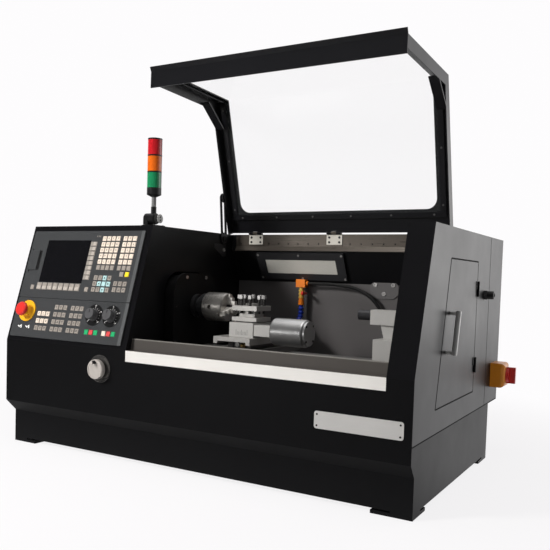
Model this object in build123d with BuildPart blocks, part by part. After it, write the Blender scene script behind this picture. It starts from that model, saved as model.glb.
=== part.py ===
from build123d import *
import os
from math import atan2, cos, degrees, hypot, pi, radians, sin

# Benchtop lathe under computer control, in a sheet-metal cabinet with a lift-up guard.
# Millimetres. X runs along the spindle, Y from the front to the back, Z up.
# The origin lies on the floor, in the middle of the pattern of bench bolts.

# Fits shared by all pieces
overrun = 5.0
running = 0.05
sliding = 0.1
clear = 0.3

# Cabinet
width = 1220.0
height = 630.0
depth = 776.0
sheet = 2.0
plinth_depth = 650.0
plinth_setback = 24.0
plinth_inset = 12.0
plinth_height = 91.0
shoulder_height = 122.0
base_height = 158.0
foot_length = 50.0
toe_gap = 12.0
foot_plate_reach = 40.0
foot_plate_thickness = 8.0
bolt_inset_x = 55.0
bolt_inset_y = 45.0
bolt_hole_radius = 7.0
apron_top = 298.0
slant_run = 101.0
box_width = 449.0
column_width = 61.0
seam_setback = 623.0

# Rear cabinet louvres
louvre_length = 150.0
louvre_height = 6.0
louvre_pitch_z = 22.0
louvre_pitch_x = 620.0
louvre_rows = 9
louvre_centre_z = 430.0

# Front sill, a folded strip with an upstand and a hem
sill_bottom = 271.0
sill_top = 300.0
sill_ledge = 20.0
upstand_top = 329.0
upstand_lean = 6.0
hem_width = 8.0
skirt_setback = 60.0
skirt_top = 296.0
skirt_bottom = 215.0

# Rear splash wall, soffit and roof
drop_setback = 489.0
drop_height = 52.0
wall_setback = 537.0
soffit_drop = 142.0
bracket_plate_width = 86.0
bracket_plate_height = 52.0
bracket_plate_thickness = 3.0
bracket_plate_from_left = 945.0
bracket_plate_drop = 156.0
bracket_plate_chamfer = 14.0

# Chip tray
tray_wall = 40.0
drain_radius = 16.0
drain_from_left = 1090.0
drain_setback = 470.0

# Hinge strip and hinges
hinge_setback = 482.0
hinge_rise = 4.0
strip_margin = 18.0
strip_top_drop = 0.5
strip_fold_drop = 36.0
strip_bottom_drop = 50.0
strip_kick = 7.0
strip_hole_radius = 2.5
strip_hole_count = 20
strip_hole_drop = 28.0
hinge_count = 3
hinge_pitch = 265.0
leaf_width = 50.0
leaf_thickness = 2.0
leaf_bottom_drop = 34.0
knuckle_radius = 5.0
knuckle_length = 15.0
knuckle_relief = 1.5
hinge_pin_radius = 2.0

# Guard
guard_lean = 15.6
guard_bend = 107.0
guard_main = 398.0
guard_visor = 305.0
guard_side_gap_left = 9.0
guard_side_gap_right = 7.0
guard_skin = 3.0
guard_rail_width = 40.0
guard_rail_depth = 30.0
guard_start = 1.0
guard_foot = 63.0
window_corner = 30.0
lip_depth = 42.0
lip_fold = 12.0
lip_fold_lean = 6.0
brace_reach = 78.0
brace_bite = 8.0
brace_thickness = 4.0
brace_width = 26.0
pane_thickness = 4.0
pane_lap = 28.0
pane_bottom_lap = 20.0

# Guard stay
stay_setback = 438.5
stay_drop = 16.0
stay_pin_setback = 426.0
stay_pin_rise = 107.0
stay_width = 30.0
stay_thickness = 3.0
stay_slot = 12.0
stay_slot_start = 24.0
stay_gap = 1.8
stud_radius = 4.0
stud_head_radius = 9.0
stud_head_height = 2.2
washer_radius = 13.0

# Operator panels on the sloping front
panel_width = 420.0
panel_left = 11.0
panel_thickness = 4.0
panel_corner = 5.0
panel_body_depth = 42.0
panel_body_margin = 18.0
panel_foot = 11.5
panel_head = 17.0
panel_gap = 1.0
lower_panel_share = 0.3638
cutout_margin = 14.0
screen_recess = 3.0
screen_thickness = 2.0
key_height = 1.4

# Layout of the panels, in shares of their width and of each unit's height
screen_place_shares = (0.1524, 0.2326)
screen_size_shares = (0.4, 0.6287)
softkey_v_shares = (0.5821, 0.5643)
softkey_v_pitch_share = 0.0698
softkey_v_size_shares = (0.056, 0.0624)
softkey_h_shares = (0.3452, 0.1732)
softkey_h_pitch_share = 0.0506
softkey_h_size_shares = (0.0452, 0.104)
softkey_count = 8
recall_keys_shares = ((0.1048, 0.1509), (0.6083, 0.1509))
key_column_share = 0.0395
key_row_share = 0.0837
key_width_share = 0.84
key_depth_share = 0.8
letter_keys_shares = (0.7279, 0.6781)
letter_columns = 4
digit_keys_shares = (0.8874, 0.6781)
digit_columns = 3
typing_rows = 6
edit_keys_shares = ((0.8802, 0.3821), (0.9257, 0.3821))
cursor_keys_shares = (0.7279, 0.24)
cursor_columns = 4
cursor_rows = 3
page_keys_shares = (0.8857, 0.2079)
page_columns = 3
page_rows = 2
mode_columns_shares = (0.2757, 0.4233, 0.571)
mode_rows_shares = (0.7939, 0.6112, 0.4285, 0.2467)
mode_columns = 3
cycle_keys_shares = ((0.7345, 0.2485), (0.8821, 0.2485))
cycle_columns = 3

# Small flap beside the screen, on a pin between two lugs
flap_place_shares = (0.0238, 0.4059)
flap_size_shares = (0.0738, 0.297)
flap_thickness = 3.0
flap_chamfer = 1.0
flap_lug_length = 4.0
flap_pin_radius = 0.8

# Emergency stop
stop_shares = (0.119, 0.6554)
stop_ring_radius = 31.0
stop_ring_thickness = 3.0
stop_collar_radius = 14.5
stop_collar_height = 10.0
stop_stem_radius = 8.0
stop_stem_depth = 5.0
stop_travel_room = 5.0
mushroom_radius = 20.0
mushroom_height = 12.0
mushroom_edge = 2.5
mushroom_crown = 6.0

# Override knobs
knob_shares = ((0.7298, 0.6623), (0.8774, 0.6623))
dial_radius = 30.0
dial_thickness = 1.0
knob_radius = 15.0
knob_height = 20.0
knob_skirt_radius = 17.0
knob_skirt_height = 4.0
knob_face_chamfer = 1.0
knob_shaft_radius = 3.0
knob_shaft_depth = 8.0

# Pulse handwheel on the apron
wheel_from_left = 364.0
wheel_z = 245.0
wheel_radius = 26.0
wheel_thickness = 15.0
wheel_edge = 3.0
wheel_hub_radius = 14.0
wheel_hub_length = 5.0
wheel_shaft_radius = 4.0
wheel_dish = 1.0
wheel_dish_radius = 21.0
crank_radius = 4.5
crank_length = 12.0
crank_offset = 19.0
bezel_radius = 37.0
bezel_thickness = 3.0

# Signal tower
tower_from_left = 404.0
tower_setback = 156.0
tower_pivot_rise = 22.0
tower_foot = 46.0
tower_foot_thickness = 4.0
tower_barrel_radius = 15.5
tower_barrel_split = 8.0
tower_barrel_left = 16.0
tower_barrel_right = 17.0
tower_pin_radius = 5.0
tower_cap_radius = 12.5
tower_cap_height = 2.0
tower_pole_radius = 6.5
tower_sleeve_radius = 7.5
tower_sleeve_rise = 55.0
tower_cone_rise = 82.0
tower_base_rise = 88.0
tower_base_height = 15.0
tower_radius = 20.0
tower_core_radius = 14.0
lens_height = 41.0
lens_ring = 4.0
lens_count = 3
lens_wall = 4.0

# Rotary isolator on the right side
isolator_setback = 683.0
isolator_width = 65.0
isolator_bottom = 205.0
isolator_height = 69.0
isolator_depth = 40.0
isolator_round = 12.0
isolator_knob_radius = 20.0
isolator_knob_height = 8.0
isolator_grip_width = 11.0
isolator_grip_height = 16.0
isolator_grip_length = 46.0
isolator_shaft_radius = 5.0
isolator_shaft_depth = 12.0

# Side door, with a sloping front edge
door_rear_setback = 486.0
door_front_bottom_setback = 155.0
door_front_top_setback = 234.0
door_bottom = 217.0
door_top_drop = 74.0
door_gap = 0.7
door_hinge_radius = 3.0
door_hinge_length = 20.0
door_hinge_leaf = 14.0
door_hinge_leaf_thickness = 1.5
door_hinge_pin_radius = 1.5
door_hinge_margin = 50.0
handle_bottom = 340.0
handle_top = 430.0
handle_inset = 34.0
handle_radius = 5.5
handle_post_radius = 4.0
handle_standoff = 20.0
access_front_setback = 180.0
access_rear_setback = 460.0
access_bottom = 335.0
access_top_drop = 95.0

# Cable gland
gland_setback = 573.0
gland_z = 470.0
gland_across_flats = 24.0
gland_nut_height = 8.0
gland_dome_radius = 11.0
gland_dome_height = 18.0
gland_bore_radius = 6.0

# Work light on the soffit
lamp_from_left = 688.0
lamp_width = 292.0
lamp_height = 88.0
lamp_rise = 5.0
lamp_thickness = 8.0
lamp_window_width = 236.0
lamp_window_height = 46.0
lamp_corner = 3.0
diffuser_thickness = 3.0
diffuser_sunk = 1.0

# Spindle line
spindle_setback = 262.0
spindle_z = 413.0

# Bed
bed_from_left = 200.0
bed_length = 940.0
bed_width = 150.0
bed_top = 298.0
bed_bottom = 220.0
bed_wall = 30.0
bed_floor = 18.0
way_height = 7.0
way_width = 18.0
bed_ribs = 6
bed_rib_width = 14.0
pedestal_length = 150.0
pedestal_inset = 20.0
screw_bracket_length = 25.0
screw_bracket_margin = 18.0

# Headstock
headstock_from_left = 230.0
headstock_face = 480.0
headstock_width = 208.0
headstock_height = 207.0
headstock_round = 60.0
headstock_cover = 10.0
headstock_cover_lip = 6.0
headstock_slot_gap = 3.0
spindle_room = 30.0

# Spindle, bearings, pulleys, belt and motor
spindle_radius = 25.0
spindle_bore_radius = 10.5
spindle_tail = 34.0
nose_length = 45.0
nose_flange_radius = 36.0
nose_flange = 14.0
nose_collar_radius = 33.0
nose_collar = 12.0
nose_collar_gap = 3.0
bearing_radius = 40.0
bearing_width = 20.0
bearing_groove = 3.0
bearing_ring_share = 0.32
pulley_radius = 45.0
pulley_width = 24.0
pulley_rim = 3.0
pulley_rim_height = 4.0
pulley_inset = 4.0
belt_thickness = 5.0
belt_width = 20.0
motor_pulley_radius = 35.0
motor_setback = 470.0
motor_z = 250.0
motor_radius = 70.0
motor_length = 160.0
motor_foot_width = 120.0
motor_shaft_radius = 12.0
motor_fin_count = 12
motor_fin_height = 5.0
motor_fin_width = 6.0

# Chuck and jaws
chuck_radius = 40.0
chuck_length = 66.0
chuck_edge = 2.5
chuck_key_share = 0.42
chuck_key_radius = 5.5
chuck_key_depth = 12.0
jaw_width = 12.0
jaw_root = 12.0
jaw_inner = 8.0
jaw_outer = 36.0
jaw_reach = 24.0
jaw_step_shares = (0.32, 0.66)
jaw_count = 3
first_jaw_angle = 90.0

# Saddle and cross slide
carriage_from_left = 695.0
saddle_length = 130.0
saddle_front_setback = 160.0
saddle_rear_setback = 372.0
saddle_thickness = 16.0
rail_width = 15.0
rail_height = 19.0
rail_offset = 27.0
slide_width = 110.0
slide_front_setback = 120.0
slide_rear_setback = 330.0
slide_top = 344.0
slide_leg_width = 12.0
slide_leg_bottom = 326.0
slide_nut_width = 26.0
slide_nut_front_setback = 215.0
slide_nut_length = 30.0
screw_block_width = 30.0
screw_block_length = 12.0
x_screw_radius = 6.0
x_screw_front_setback = 150.0
x_screw_drop = 10.0
motor_shelf_length = 25.0
x_motor_size = 56.0
x_motor_length = 68.0
x_motor_round = 6.0
shaft_seat = 8.0
z_screw_radius = 8.0
z_screw_setback = 380.0
z_screw_z = 250.0
z_motor_from_left = 236.0
z_motor_length = 110.0
z_motor_size = 78.0
nut_bracket_length = 50.0
nut_bracket_margin = 15.0

# Four-way turret with its worm housing and motor
turret_setback = 200.0
turret_offset = 10.0
turret_base_width = 72.0
turret_base_front = 50.0
turret_base_rear = 40.0
turret_base_top = 381.0
turret_neck_radius = 24.0
turret_neck = 3.0
turret_size = 74.0
turret_core = 46.0
turret_floor = 10.5
turret_slot = 17.0
turret_roof = 12.5
turret_post_radius = 12.0
turret_cap_radius = 16.0
turret_cap_height = 6.0
clamp_screw_radius = 4.0
clamp_screw_rise = 18.0
clamp_head = 8.0
clamp_head_height = 10.0
clamp_screw_reach = 8.0
clamp_offset = 30.0
clamp_spread = 13.0
worm_length = 54.0
worm_front_setback = 152.0
worm_depth = 35.0
worm_bottom = 349.0
worm_top = 377.0
turret_motor_radius = 35.0
turret_motor_length = 98.0
turret_motor_round = 6.0
turret_motor_cap = 5.0
turret_motor_cap_radius = 31.0

# Tailstock
tail_barrel_from_left = 1024.0
tail_rear_from_left = 1135.0
tail_base_from_left = 1045.0
tail_web_top_inset = 4.0
tail_web_bottom_inset = 13.0
tail_barrel_width = 50.0
tail_barrel_up = 15.0
tail_barrel_down = 21.0
tail_web_width = 36.0
tail_base_width = 112.0
tail_base_height = 60.0
quill_radius = 12.5
quill_reach = 39.0
quill_length = 125.0
quill_socket_radius = 6.0
quill_socket_depth = 40.0
quill_slot_width = 4.0
quill_slot_depth = 2.0
tail_shaft_radius = 5.0
tail_shaft_length = 16.0
tail_wheel_radius = 32.0
tail_wheel_thickness = 9.0
tail_wheel_gap = 3.0
tail_wheel_hub_radius = 11.0
tail_wheel_spokes = 3
tail_wheel_rim = 7.0
tail_spoke_width = 8.0
tail_crank_radius = 5.0
tail_crank_length = 24.0

# Coolant valve, jointed nozzle hose and supply hose
valve_from_left = 691.0
valve_setback = 510.0
valve_drop = 145.0
valve_width = 30.0
valve_depth = 20.0
valve_height = 24.0
valve_arm_height = 10.0
valve_arm_drop = 7.0
joint_radius = 7.0
joint_length = 40.0
joint_bead = 2.0
nut_radius = 9.0
nut_length = 13.0
port_radius = 6.5
port_length = 7.0
lever_radius = 3.0
lever_length = 20.0
lever_drop = 18.0
lever_knob_radius = 6.0
lever_stub_length = 6.0
segment_radius = 8.5
segment_neck = 5.5
segment_mouth = 7.0
segment_bite = 3.0
segment_length = 12.0
segment_straight = 2
segment_curved = 4
segment_turn = 20.0
segment_level = 1
nozzle_tip_radius = 4.0
nozzle_tip_length = 22.0
nozzle_bore_radius = 2.0
hose_radius = 5.0
hose_fitting_size = 24.0
hose_drop = 136.0
hose_end_from_left = 960.0
hose_end_setback = 523.0
hose_along_shares = (0.0, 0.34, 0.62, 0.813, 0.93, 1.0, 1.0)
hose_back_shares = (0.0, 0.0, 0.23, 0.54, 0.77, 1.0, 1.0)
hose_drop_shares = (0.0, 0.0, 0.06, 0.25, 0.515, 0.81, 1.0)
hose_bend_share = 0.45

# Places worked out from the sizes above
left = -width / 2
right = width / 2
bolt_spacing_x = width - 2 * bolt_inset_x
bolt_spacing_y = plinth_depth - 2 * bolt_inset_y
front = -(plinth_depth / 2 + plinth_setback)
rear = front + depth
plinth_front = front + plinth_setback
plinth_rear = plinth_front + plinth_depth
box_right = left + box_width
column_left = right - column_width
seam_y = front + seam_setback
drop_y = front + drop_setback
wall_y = front + wall_setback
axis_y = front + spindle_setback
hinge_y = front + hinge_setback
hinge_z = height + hinge_rise
drop_bottom = height - drop_height
soffit_bottom = height - soffit_drop
strip_top = height - strip_top_drop
stay_z = height - stay_drop
stay_pin_z = height + stay_pin_rise
tower_pivot_z = height + tower_pivot_rise
tower_base_bottom = height + tower_base_rise
tower_base_top = tower_base_bottom + tower_base_height
door_top = height - door_top_drop
valve_x = left + valve_from_left
valve_y = front + valve_setback
valve_z = height - valve_drop
hose_top = valve_z - hose_drop
chamber_floor = base_height + sheet
slant_length = hypot(slant_run, height - apron_top)
slant_sin = slant_run / slant_length
slant_cos = (height - apron_top) / slant_length
panel_normal = Vector(0, -slant_cos, slant_sin)
panel_plane = Plane(origin=(left, front, apron_top), x_dir=(1, 0, 0), z_dir=panel_normal)
panel_face = panel_plane.offset(panel_thickness)
panel_room = slant_length - panel_foot - panel_gap - panel_head
lower_height = lower_panel_share * panel_room
upper_height = panel_room - lower_height
lower_bottom = panel_foot
upper_bottom = lower_bottom + lower_height + panel_gap
carriage_x = left + carriage_from_left
turret_x = carriage_x + turret_offset
turret_y = front + turret_setback
chuck_back_x = left + headstock_face + nose_length
chuck_face_x = chuck_back_x + chuck_length
saddle_top = bed_top + sliding + saddle_thickness
LOW = (Align.MIN, Align.MIN, Align.MIN)
ON_AXIS = (Align.CENTER, Align.CENTER, Align.MIN)
TURN = {"x": (0, 90, 0), "y": (-90, 0, 0), "z": (0, 0, 0)}


def slab(low, high, mode=Mode.ADD):
    """A block between two opposite corners."""
    with Locations(low):
        Box(*(b - a for a, b in zip(low, high)), align=LOW, mode=mode)


def rod(start, along, radius, length, mode=Mode.ADD):
    """A round bar from a point, along one axis of the machine."""
    with Locations(Location(start, TURN[along])):
        Cylinder(radius, length, align=ON_AXIS, mode=mode)


def across(share):
    """The width of a thing on the panels."""
    return share * panel_width


def on_upper(shares):
    """A place on the upper unit, from its shares of the unit's width and height."""
    return (panel_left + shares[0] * panel_width, upper_bottom + shares[1] * upper_height)


def on_lower(shares):
    """A place on the lower unit, from its shares of the unit's width and height."""
    return (panel_left + shares[0] * panel_width, lower_bottom + shares[1] * lower_height)


def panel_rod(place, radius, length, mode=Mode.ADD):
    """A round bar that runs up the panels from a place in their own frame."""
    origin = panel_plane.from_local_coords(Vector(*place))
    with Locations(Plane(origin=origin, x_dir=(1, 0, 0), z_dir=panel_plane.y_dir)):
        Cylinder(radius, length, align=ON_AXIS, mode=mode)


def yz_outline(x, points, inset=0):
    """A closed outline across the machine, drawn in at a distance from its edges."""
    with BuildSketch(Plane.YZ.offset(x)) as outline:
        with BuildLine():
            Polyline(*points, close=True)
        make_face()
        if inset:
            offset(amount=-inset, kind=Kind.INTERSECTION)
    return outline.sketch


def flat(point):
    """The two coordinates of a point in its own plane."""
    return (point.X, point.Y)


def folded(path, near, far):
    """The section of a folded sheet: a path, offset to its left by two distances."""
    def side(distance):
        points = [Vector(*point) for point in path]
        runs = [(b - a).normalized() for a, b in zip(points, points[1:])]
        normals = [Vector(-run.Y, run.X) for run in runs]
        joined = [normals[0]]
        for first, second in zip(normals, normals[1:]):
            joined.append((first + second) * (1 / (1 + first.dot(second))))
        joined.append(normals[-1])
        return [flat(p + n * distance) for p, n in zip(points, joined)]
    return side(near) + side(far)[::-1]


def save(piece, label):
    """Label a finished piece and write its file."""
    piece.part.label = label
    export_step(piece.part, f"parts/{label}.step")


os.makedirs("parts", exist_ok=True)

# Base plinth: a welded shell with a sloping shoulder, open below, on four corner feet
base_section = [
    (plinth_front, 0), (plinth_front, plinth_height), (front, shoulder_height),
    (front, base_height), (plinth_rear, base_height), (plinth_rear, 0),
]
plinth_left = left + plinth_inset
with BuildPart() as base_plinth:
    extrude(yz_outline(left, base_section), amount=width)
    with BuildSketch(Plane.XZ.offset(-plinth_rear - overrun)):
        with BuildLine():
            Polyline(
                (left, 0), (plinth_left, 0), (plinth_left, plinth_height),
                (left, shoulder_height), close=True,
            )
        make_face()
    extrude(amount=plinth_rear - front + 2 * overrun, mode=Mode.SUBTRACT)
    hollow = width - plinth_inset - 2 * sheet
    extrude(yz_outline(plinth_left + sheet, base_section, sheet), amount=hollow, mode=Mode.SUBTRACT)
    slab(
        (plinth_left + sheet, plinth_front + sheet, -overrun),
        (right - sheet, plinth_rear - sheet, plinth_height), Mode.SUBTRACT,
    )
    slab(
        (plinth_left + foot_length, plinth_front - overrun, -overrun),
        (right - foot_length, plinth_rear + overrun, toe_gap), Mode.SUBTRACT,
    )
    slab(
        (left - overrun, plinth_front + foot_length, -overrun),
        (right + overrun, plinth_rear - foot_length, toe_gap), Mode.SUBTRACT,
    )
    bolt_x = bolt_spacing_x / 2
    bolt_y = bolt_spacing_y / 2
    for low_x, high_x in (
        (plinth_left, foot_plate_reach - bolt_x), (bolt_x - foot_plate_reach, right),
    ):
        for low_y, high_y in (
            (plinth_front, foot_plate_reach - bolt_y), (bolt_y - foot_plate_reach, plinth_rear),
        ):
            slab((low_x, low_y, 0), (high_x, high_y, foot_plate_thickness))
    with Locations((0, 0, foot_plate_thickness)):
        with GridLocations(bolt_spacing_x, bolt_spacing_y, 2, 2):
            Hole(bolt_hole_radius, 2 * foot_plate_thickness)
    rod(
        (left + drain_from_left, front + drain_setback, base_height - overrun),
        "z", drain_radius, 2 * overrun,
        Mode.SUBTRACT,
    )
save(base_plinth, "base_plinth")

# Front apron: one sheet across the machine, notched for the sill
wheel_x = left + wheel_from_left
with BuildPart() as front_apron:
    slab((left, front, base_height), (right, front + sheet, apron_top))
    slab(
        (box_right, front - overrun, sill_bottom),
        (column_left, front + sheet + overrun, apron_top + overrun), Mode.SUBTRACT,
    )
    rod((wheel_x, front - bezel_thickness, wheel_z), "y", bezel_radius, bezel_thickness)
    rod(
        (wheel_x, front - bezel_thickness - overrun, wheel_z), "y", wheel_shaft_radius + running,
        bezel_thickness + sheet + 2 * overrun, Mode.SUBTRACT,
    )
save(front_apron, "front_apron")

# Control housing: a closed shell with a sloping front, cut out for the panels and the headstock
housing_section = [
    (front + sheet, base_height), (front + sheet, apron_top), (front, apron_top),
    (front + slant_run, height), (seam_y, height), (seam_y, base_height),
]
stay_y = front + stay_setback
headstock_front = axis_y - headstock_width / 2
headstock_rear = axis_y + headstock_width / 2
headstock_top = bed_top + headstock_height
with BuildPart() as control_housing:
    extrude(yz_outline(left, housing_section), amount=box_width)
    extrude(
        yz_outline(left + sheet, housing_section, sheet), amount=box_width - 2 * sheet, mode=Mode.SUBTRACT,
    )
    with BuildSketch(Plane.YZ.offset(box_right + overrun)) as arch:
        with Locations((axis_y, (chamber_floor + headstock_top + headstock_slot_gap) / 2)):
            Rectangle(
                headstock_width + 2 * headstock_slot_gap,
                headstock_top + headstock_slot_gap - chamber_floor,
            )
        fillet(arch.vertices().group_by(Axis.Y)[-1], headstock_round + headstock_slot_gap)
    extrude(amount=-sheet - 2 * overrun, mode=Mode.SUBTRACT)
    rod(
        (box_right - sheet - overrun, front + z_screw_setback, z_screw_z), "x",
        z_screw_radius + clear, sheet + 2 * overrun, Mode.SUBTRACT,
    )
    rod(
        (wheel_x, front - overrun, wheel_z), "y", wheel_shaft_radius + running,
        2 * sheet + 2 * overrun, Mode.SUBTRACT,
    )
    with BuildSketch(panel_plane.offset(overrun)):
        with Locations((panel_left + panel_width / 2, (lower_bottom + upper_bottom + upper_height) / 2)):
            Rectangle(
                panel_width - 2 * cutout_margin,
                upper_bottom + upper_height - lower_bottom - 2 * cutout_margin,
            )
    extrude(amount=-2 * overrun - sheet, mode=Mode.SUBTRACT)
    stud_length = stay_gap + stay_thickness + clear
    rod((box_right, stay_y, stay_z), "x", stud_radius, stud_length + stud_head_height)
    rod((box_right + stud_length, stay_y, stay_z), "x", stud_head_radius, stud_head_height)
save(control_housing, "control_housing")

# Right column: a narrow shell with a side door opening and an access opening to the tailstock
door_rear = front + door_rear_setback
door_outline = [
    (front + door_front_bottom_setback, door_bottom), (front + door_front_top_setback, door_top),
    (door_rear, door_top), (door_rear, door_bottom),
]
door_hinge_x = right + clear + door_hinge_radius
door_hinge_bottoms = (door_bottom + door_hinge_margin, door_top - door_hinge_margin - 2 * door_hinge_length)
with BuildPart() as right_column:
    extrude(yz_outline(column_left, housing_section), amount=column_width)
    extrude(
        yz_outline(column_left + sheet, housing_section, sheet), amount=column_width - 2 * sheet,
        mode=Mode.SUBTRACT,
    )
    extrude(
        yz_outline(right - sheet - overrun, door_outline), amount=sheet + 2 * overrun, mode=Mode.SUBTRACT,
    )
    slab(
        (column_left - overrun, front + access_front_setback, access_bottom),
        (column_left + sheet + overrun, front + access_rear_setback, height - access_top_drop),
        Mode.SUBTRACT,
    )
    for low_z in door_hinge_bottoms:
        rod((door_hinge_x, door_rear, low_z), "z", door_hinge_radius, door_hinge_length)
        rod(
            (door_hinge_x, door_rear, low_z + door_hinge_length), "z",
            door_hinge_pin_radius, door_hinge_length,
        )
        slab(
            (right, door_rear, low_z),
            (right + door_hinge_leaf_thickness, door_rear + door_hinge_leaf, low_z + door_hinge_length),
        )
save(right_column, "right_column")

# Rear cabinet: a closed shell with louvres in its back
with BuildPart() as rear_cabinet:
    slab((left, seam_y, base_height), (right, rear, height))
    slab(
        (left + sheet, seam_y + sheet, base_height + sheet), (right - sheet, rear - sheet, height - sheet),
        Mode.SUBTRACT,
    )
    with BuildSketch(Plane.XZ.offset(-rear - overrun)):
        with Locations((0, louvre_centre_z)):
            with GridLocations(louvre_pitch_x, louvre_pitch_z, 2, louvre_rows):
                SlotOverall(louvre_length, louvre_height)
    extrude(amount=sheet + 2 * overrun, mode=Mode.SUBTRACT)
save(rear_cabinet, "rear_cabinet")

# Splash wall: roof, drop, soffit and rear wall folded from one sheet, with the hose fittings on it
splash_path = [
    (seam_y, height), (drop_y, height), (drop_y, drop_bottom),
    (wall_y, soffit_bottom), (wall_y, base_height),
]
hose_end_x = left + hose_end_from_left
hose_end_y = front + hose_end_setback
with BuildPart() as splash_wall:
    extrude(yz_outline(box_right, folded(splash_path, 0, sheet)), amount=column_left - box_right)
    with BuildSketch(Plane.XZ.offset(-wall_y)) as bracket_plate:
        with Locations((left + bracket_plate_from_left, height - bracket_plate_drop)):
            Rectangle(bracket_plate_width, bracket_plate_height)
        chamfer(bracket_plate.vertices(), bracket_plate_chamfer)
    extrude(amount=bracket_plate_thickness)
    slab(
        (
            hose_end_x - hose_fitting_size / 2, hose_end_y - hose_fitting_size / 2,
            hose_top - hose_fitting_size,
        ),
        (hose_end_x + hose_fitting_size / 2, wall_y, hose_top),
    )
save(splash_wall, "splash_wall")

# Chip tray: a pan on the base, open to the left where the bed runs through
tray_front = front + sheet
with BuildPart() as chip_tray:
    slab((box_right, tray_front, base_height), (column_left, wall_y, base_height + tray_wall))
    slab(
        (box_right - overrun, tray_front + sheet, chamber_floor),
        (column_left - sheet, wall_y - sheet, base_height + tray_wall + overrun), Mode.SUBTRACT,
    )
    rod(
        (left + drain_from_left, front + drain_setback, base_height - overrun), "z", drain_radius,
        sheet + 2 * overrun, Mode.SUBTRACT,
    )
save(chip_tray, "chip_tray")

# Front sill: bright folded strip with a ledge, an upstand with a hem, and a skirt into the tray
sill_path = [
    (front, sill_bottom), (front, sill_top), (front + sill_ledge, sill_top),
    (front + sill_ledge + upstand_lean, upstand_top),
    (front + sill_ledge + upstand_lean + hem_width, upstand_top),
    (front + skirt_setback, skirt_top), (front + skirt_setback, skirt_bottom),
]
with BuildPart() as front_sill:
    extrude(yz_outline(box_right, folded(sill_path, -sheet, 0)), amount=column_left - box_right)
save(front_sill, "front_sill")

# Hinge strip: a polished strip with a kicked lower edge and a row of holes, and the fixed hinge leaves
guard_left = box_right + guard_side_gap_left
guard_right = column_left - guard_side_gap_right
guard_middle = (guard_left + guard_right) / 2
strip_path = [
    (drop_y, strip_top), (drop_y, height - strip_fold_drop),
    (drop_y - strip_kick, height - strip_bottom_drop),
]
strip_left = box_right + strip_margin
strip_length = column_left - box_right - 2 * strip_margin
leaf_back = drop_y - sheet
hinge_xs = [guard_middle + (i - (hinge_count - 1) / 2) * hinge_pitch for i in range(hinge_count)]
with BuildPart() as hinge_strip:
    extrude(yz_outline(strip_left, folded(strip_path, -sheet, 0)), amount=strip_length)
    with BuildSketch(Plane.XZ.offset(-drop_y - overrun)):
        with Locations((strip_left + strip_length / 2, height - strip_hole_drop)):
            with GridLocations(strip_length / strip_hole_count, 0, strip_hole_count, 1):
                Circle(strip_hole_radius)
    extrude(amount=2 * overrun + sheet, mode=Mode.SUBTRACT)
    for hinge_x in hinge_xs:
        slab(
            (hinge_x - leaf_width / 2, leaf_back - leaf_thickness, height - leaf_bottom_drop),
            (hinge_x + leaf_width / 2, leaf_back, strip_top),
        )
        slab(
            (hinge_x - knuckle_length / 2, leaf_back - leaf_thickness, strip_top - overrun),
            (hinge_x + knuckle_length / 2, leaf_back, hinge_z),
        )
        rod((hinge_x - knuckle_length / 2, hinge_y, hinge_z), "x", knuckle_radius, knuckle_length)
        rod(
            (hinge_x - knuckle_length, hinge_y, hinge_z), "x", hinge_pin_radius + running,
            2 * knuckle_length, Mode.SUBTRACT,
        )
save(hinge_strip, "hinge_strip")

# Guard frame, in its open place: sheet skins on two side rails, a foot, a lip and two corner braces
main_angle = radians(90 + guard_lean)
visor_angle = main_angle + radians(180 - guard_bend)
main_run = Vector(cos(main_angle), sin(main_angle))
visor_run = Vector(cos(visor_angle), sin(visor_angle))
hinge_point = Vector(hinge_y, hinge_z)
bend_point = hinge_point + main_run * guard_main
visor_point = bend_point + visor_run * guard_visor
guard_path = [(hinge_point + main_run * guard_start), bend_point, visor_point]
guard_path = [flat(point) for point in guard_path]
inward = Vector(cos(main_angle + pi / 2), sin(main_angle + pi / 2))
visor_inward = Vector(cos(visor_angle + pi / 2), sin(visor_angle + pi / 2))
guard_width = guard_right - guard_left
foot_path = guard_path[:1] + [flat(hinge_point + main_run * (guard_start + guard_foot))]
lip_corner = visor_point + visor_inward * lip_depth
lip_top = visor_point - visor_inward * lip_fold + visor_run * lip_fold_lean
lip_path = [flat(lip_corner), flat(visor_point), flat(lip_top)]
brace_depth = guard_rail_depth - brace_bite
brace_low = bend_point - main_run * brace_reach + inward * brace_depth
brace_high = bend_point + visor_run * brace_reach + visor_inward * brace_depth
brace_path = [flat(brace_low), flat(brace_high)]
pin_y = front + stay_pin_setback
window_plane = Plane(
    origin=(guard_middle, hinge_y, hinge_z), x_dir=(1, 0, 0), z_dir=(0, inward.X, inward.Y),
)
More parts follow.
